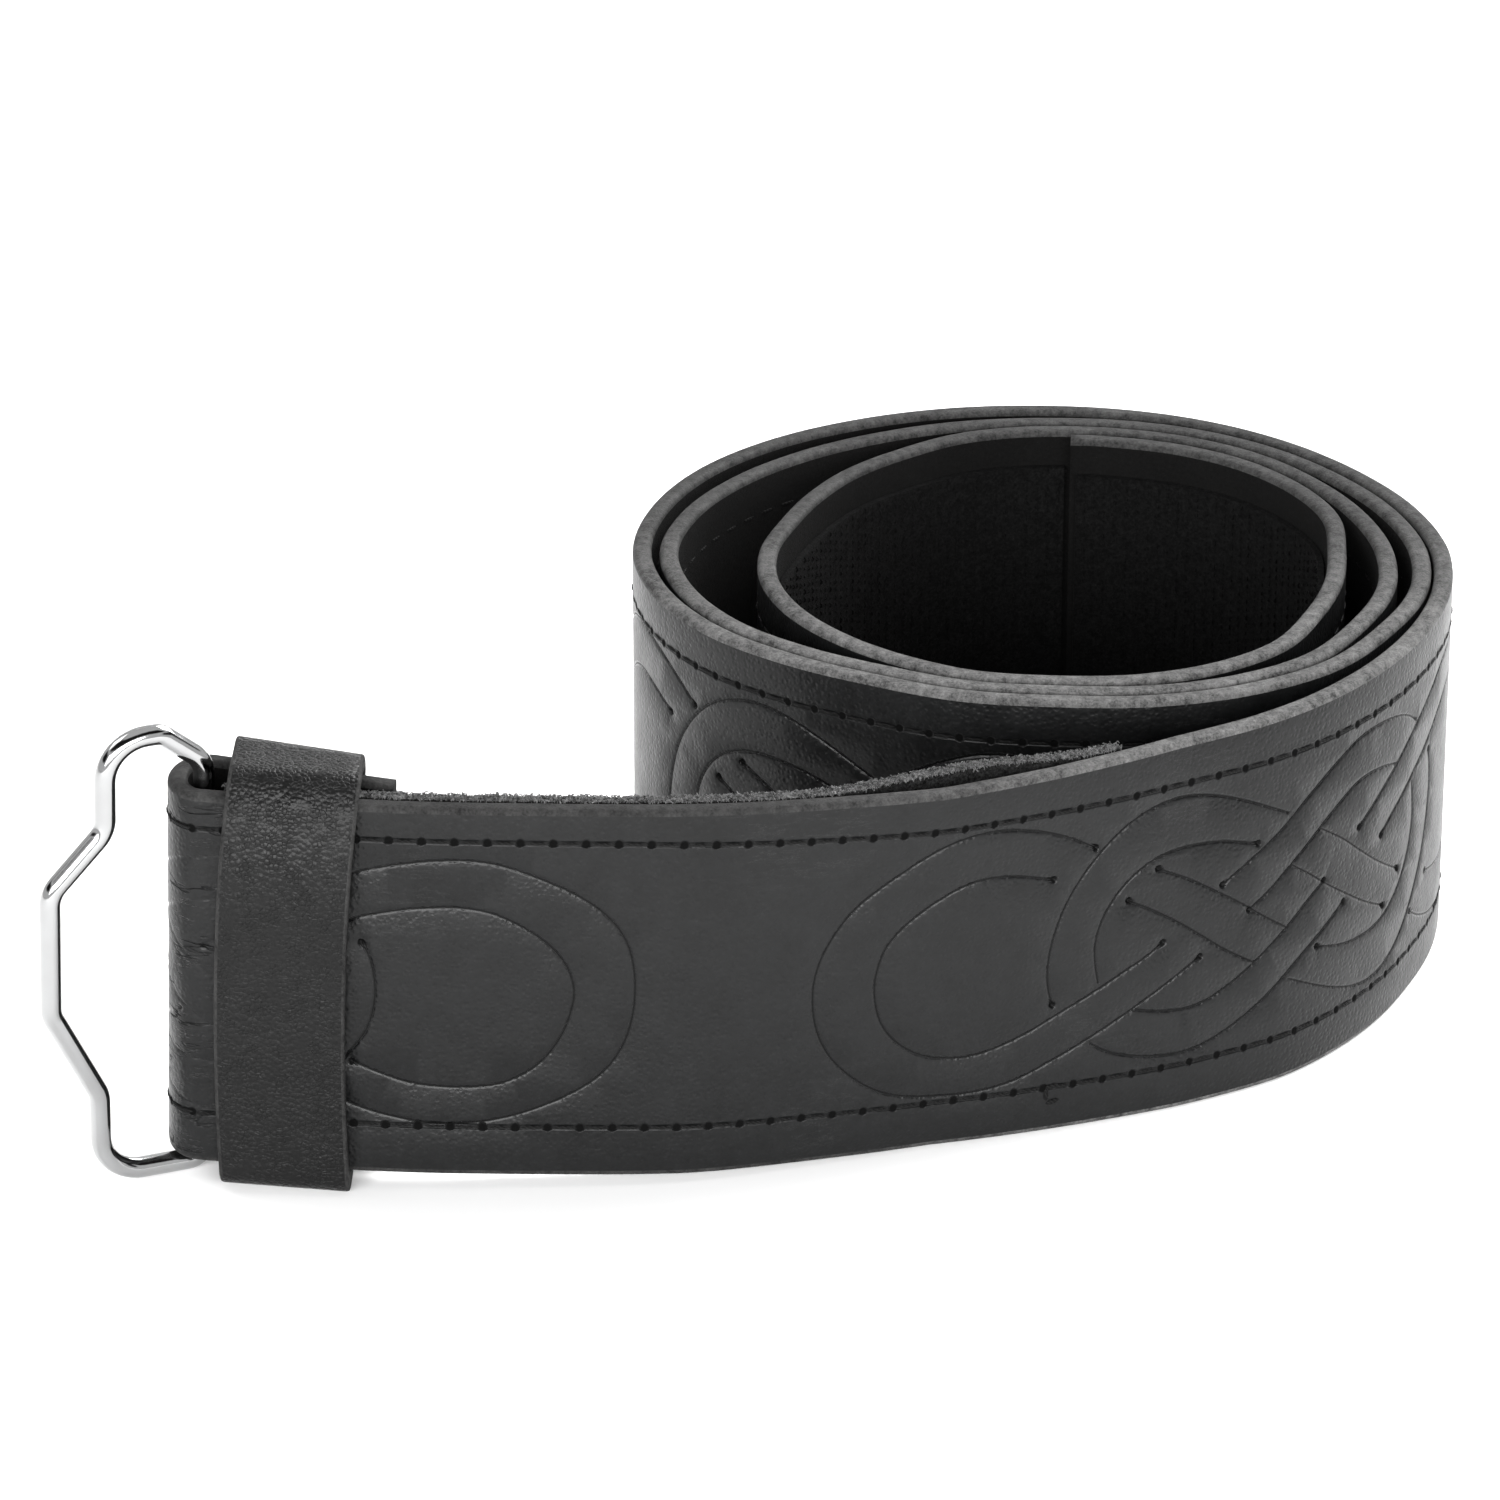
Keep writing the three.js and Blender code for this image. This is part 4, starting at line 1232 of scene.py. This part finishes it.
def keeper_wall():
    """The wall's section, as places over the width and depths, and each side's material number."""
    edge, plain = KEEPER_EDGE, KEEPER_WIDTH - 2 * KEEPER_EDGE
    shape = [(edge + plain * k / 8, 0) for k in range(9)]
    shape += [(KEEPER_WIDTH - 0.00012, 0.00015), (KEEPER_WIDTH, edge),
              (KEEPER_WIDTH, KEEPER_WALL - edge), (KEEPER_WIDTH - 0.00015, KEEPER_WALL - 0.0001)]
    shape += [(edge + plain * k / 4, KEEPER_WALL) for k in range(4, -1, -1)]
    shape += [(0.00015, KEEPER_WALL - 0.0001), (0, KEEPER_WALL - edge), (0, edge),
              (0.00012, 0.00015)]
    kinds = []
    for (_, depth), (_, next_depth) in zip(shape, shape[1:] + shape[:1]):
        flat = abs(depth - next_depth) < 1e-9
        kinds.append(0 if flat and depth < edge else 2 if flat and depth > edge else 1)
    return shape, kinds


def make_keeper():
    height = KEEPER_INNER_HEIGHT + 2 * KEEPER_WALL
    outer = keeper_section(KEEPER_INNER_DEPTH + 2 * KEEPER_WALL, height)
    size = len(outer)
    around = unit(np.roll(outer, -1, 0) - np.roll(outer, 1, 0))
    inwards = np.stack([-around[:, 1], around[:, 0]], 1)
    inner = outer + inwards * KEEPER_WALL
    front = np.clip(-outer[:, 0] / (KEEPER_INNER_DEPTH / 2 + KEEPER_WALL), 0, 1) ** 2
    stand = np.array([read_table(KEEPER_FRONT, 1, up / height) for up in outer[:, 1]])
    outer[:, 0] -= front * stand
    shape, kinds = keeper_wall()
    far_edge = KEEPER_SETBACK + KEEPER_WIDTH
    tail_face = (TAIL_FROM_FOLD_MIDDLE + KEEPER_CLEARANCE) / math.cos(TAIL_SLOPE)
    place = fold_place(far_edge, FOLD_HALF_DEPTH)
    verts = []
    for x, depth in shape:
        spots = outer + (inner - outer) * (depth / KEEPER_WALL)
        y, z = spots[:, 0], spots[:, 1]
        local = x - KEEPER_WIDTH
        # The front's two edges bow towards the ring in the middle of their height.
        middle = 1 - np.clip(abs(2 * z / height - 1), 0, 1) ** 2
        sway = -KEEPER_SWAY * middle * (y < 0)
        rear = tail_face - (far_edge + local) * math.tan(TAIL_SLOPE) - KEEPER_INNER_DEPTH / 2
        shifted_x = local - (y + KEEPER_INNER_DEPTH / 2) * KEEPER_SKEW + sway
        ramp = np.clip((y + 0.004) / 0.008, 0, 1)
        shifted_y = y + rear * ramp * ramp * (3 - 2 * ramp)
        verts.append(stood_by_fold(shifted_x, shifted_y, z, place, KEEPER_TILT))
    verts = np.concatenate(verts)
    faces, marks = [], []
    for j, kind in enumerate(kinds):
        a0, b0 = j * size, (j + 1) % len(shape) * size
        for i in range(size):
            k = (i + 1) % size
            faces.append((a0 + i, a0 + k, b0 + k, b0 + i))
            marks.append(kind)
    return new_piece("keeper_piece", verts, faces,
                     [KEEPER_LEATHER, CUT_EDGE, FLESH_SIDE], marks)


keeper = make_keeper()


# Ring


def rounded_loop(corners, steps):
    """Closed outline through corners that are rounded by arcs."""
    points = []
    count = len(corners)
    for i, (x, z, radius) in enumerate(corners):
        corner = Vector((x, z))
        before = (Vector(corners[i - 1][:2]) - corner).normalized()
        after = (Vector(corners[(i + 1) % count][:2]) - corner).normalized()
        half = math.acos(max(-1, min(1, before.dot(after)))) / 2
        middle = corner + (before + after).normalized() * (radius / math.sin(half))
        first = corner + before * (radius / math.tan(half)) - middle
        last = corner + after * (radius / math.tan(half)) - middle
        sweep = math.atan2(first.x * last.y - first.y * last.x, first.dot(last))
        for k in range(steps + 1):
            turn = sweep * k / steps
            points.append((
                middle.x + first.x * math.cos(turn) - first.y * math.sin(turn),
                middle.y + first.x * math.sin(turn) + first.y * math.cos(turn),
            ))
    return np.array(points)


def make_ring():
    """A closed wire that stands on the hinge's line, swung to its rest place."""
    corners = [(-out * RING_REACH, WIRE_RADIUS + up * RING_HEIGHT, radius)
               for out, up, radius in RING_CORNERS]
    outline = rounded_loop(corners, BEND_STEPS)
    heading = unit(np.roll(outline, -1, 0) - np.roll(outline, 1, 0))
    verts = []
    for k in range(WIRE_SIDES):
        turn = math.tau * k / WIRE_SIDES
        side = WIRE_RADIUS * math.cos(turn)
        x = outline[:, 0] + side * heading[:, 1]
        z = outline[:, 1] - side * heading[:, 0]
        y = np.full(len(outline), -WIRE_RADIUS * math.sin(turn))
        swung_x = x * math.cos(RING_REST_SWING) - y * math.sin(RING_REST_SWING)
        swung_y = x * math.sin(RING_REST_SWING) + y * math.cos(RING_REST_SWING)
        verts.append(stood_by_fold(swung_x, swung_y, z, HINGE, math.atan(FOLD_RAKE)))
    verts = np.stack(verts, 1).reshape(-1, 3)
    faces = []
    count = len(outline)
    for i in range(count):
        for k in range(WIRE_SIDES):
            a, b = i * WIRE_SIDES + k, i * WIRE_SIDES + (k + 1) % WIRE_SIDES
            c, d = (a + WIRE_SIDES) % len(verts), (b + WIRE_SIDES) % len(verts)
            faces.append((a, c, d, b))
    return new_piece("ring_piece", verts, faces, [RING_CHROME])


ring = make_ring()


# Every piece with its body, the solid that it stands for and its finish


def face_outwards(shape):
    """Turns a closed bmesh's faces outwards, all alike."""
    if shape.calc_volume(signed=True) < 0:
        bmesh.ops.reverse_faces(shape, faces=shape.faces)


PIECES = [
    (strap, "belt", "strap", "strap_leather"),
    (stitches, "belt", None, "strap_leather"),
    (back_stitch, "belt", None, "strap_leather"),
    (keeper, "belt", "keeper", "keeper_leather"),
    (ring, "ring", "ring", "ring_chrome"),
    (loop_tape, "belt", "loop_tape", "tape"),
    (loop_pile, "belt", None, "tape"),
    (loop_face, "belt", None, "tape"),
    (hook_tape, "belt", "hook_tape", "tape"),
    (tail_hooks, "belt", None, "tape"),
    (end_tape, "belt", "end_tape", "tape"),
    (end_hooks, "belt", None, "tape"),
]
for piece, body, node, slot in PIECES:
    with_bmesh(piece.data, face_outwards)
    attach(piece, body)
    if node:
        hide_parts(node)


# Floor, light and camera


def floor_finish():
    """Even, pale and dull, with a faint mottle."""
    finish = Finish("paper_white", Roughness=0.9)
    mottle = finish.noise(3, 2)
    finish.set(Base_Color=finish.mix(mottle, grey(0.95), grey(0.97)))
    return finish.material


def make_floor():
    """A pale sweep: flat under the belt, and rising behind it."""
    width, front, back, rise = 3.0, -2.0, 1.2, 1.0
    rows = [(front, 0.0)]
    for k in range(13):
        turn = math.pi / 2 * k / 12
        rows.append((back + rise * math.sin(turn), rise * (1 - math.cos(turn))))
    rows.append((back + rise, 3.0))
    verts = [(x, y, z) for y, z in rows for x in (-width, width)]
    faces = [(2 * i, 2 * i + 1, 2 * i + 3, 2 * i + 2) for i in range(len(rows) - 1)]
    return new_piece("floor", verts, faces, [floor_finish()])


floor = make_floor()


def area_light(name, place, target, size, power):
    """A soft lamp of a given size that faces a target."""
    data = bpy.data.lights.new(name, "AREA")
    data.shape = "RECTANGLE"
    data.size, data.size_y = size
    data.energy = power
    lamp = new_object(name, data)
    lamp.location = place
    lamp.rotation_euler = (Vector(target) - Vector(place)).to_track_quat("-Z", "Y").to_euler()


area_light("back_softbox", (0.7, 0.72, 0.95), (0, 0, 0.02), (1.1, 0.9), 36)
area_light("front_softbox", (-0.1, -1.1, 0.44), (0, 0, 0.03), (1.6, 0.44), 27)
area_light("left_softbox", (-1.0, 0.3, 1.1), (0, 0, 0.03), (0.7, 0.7), 5)


def light_the_studio():
    """White walls and ceiling, with the dark gaps between the lamps that chrome mirrors."""
    world = bpy.data.worlds.new("studio")
    world.use_nodes = True
    walls = Nodes(world.node_tree)
    background = walls.tree.nodes.new("ShaderNodeBackground")
    output = walls.tree.nodes.new("ShaderNodeOutputWorld")
    walls.tree.links.new(background.outputs[0], output.inputs[0])
    right, back, up = walls.parts(walls.node("ShaderNodeTexCoord"))
    over_camera = (up.within(0.56, 0.62) * (1 - up.within(0.88, 0.93))
                   * (1 - back.within(-0.16, -0.08)))
    at_the_sides = (right.math("ABSOLUTE").within(0.74, 0.8) * up.within(0.22, 0.28)
                    * (1 - up.within(0.47, 0.54)) * (1 - back.within(0.2, 0.32)))
    gap = over_camera.math("MAXIMUM", at_the_sides)
    walls.feed(background.inputs[0], walls.mix(gap, grey(0.95), grey(0.02)))
    bpy.context.scene.world = world


light_the_studio()
bpy.context.scene.view_settings.view_transform = "Standard"

camera_data = bpy.data.cameras.new("camera")
camera_data.lens = 180
camera_data.sensor_width = 36
camera_data.clip_end = 20
camera = new_object("camera", camera_data)
camera.location = CAMERA_PLACE
camera.rotation_euler = (CAMERA_TILT, 0, 0)
bpy.context.scene.camera = camera
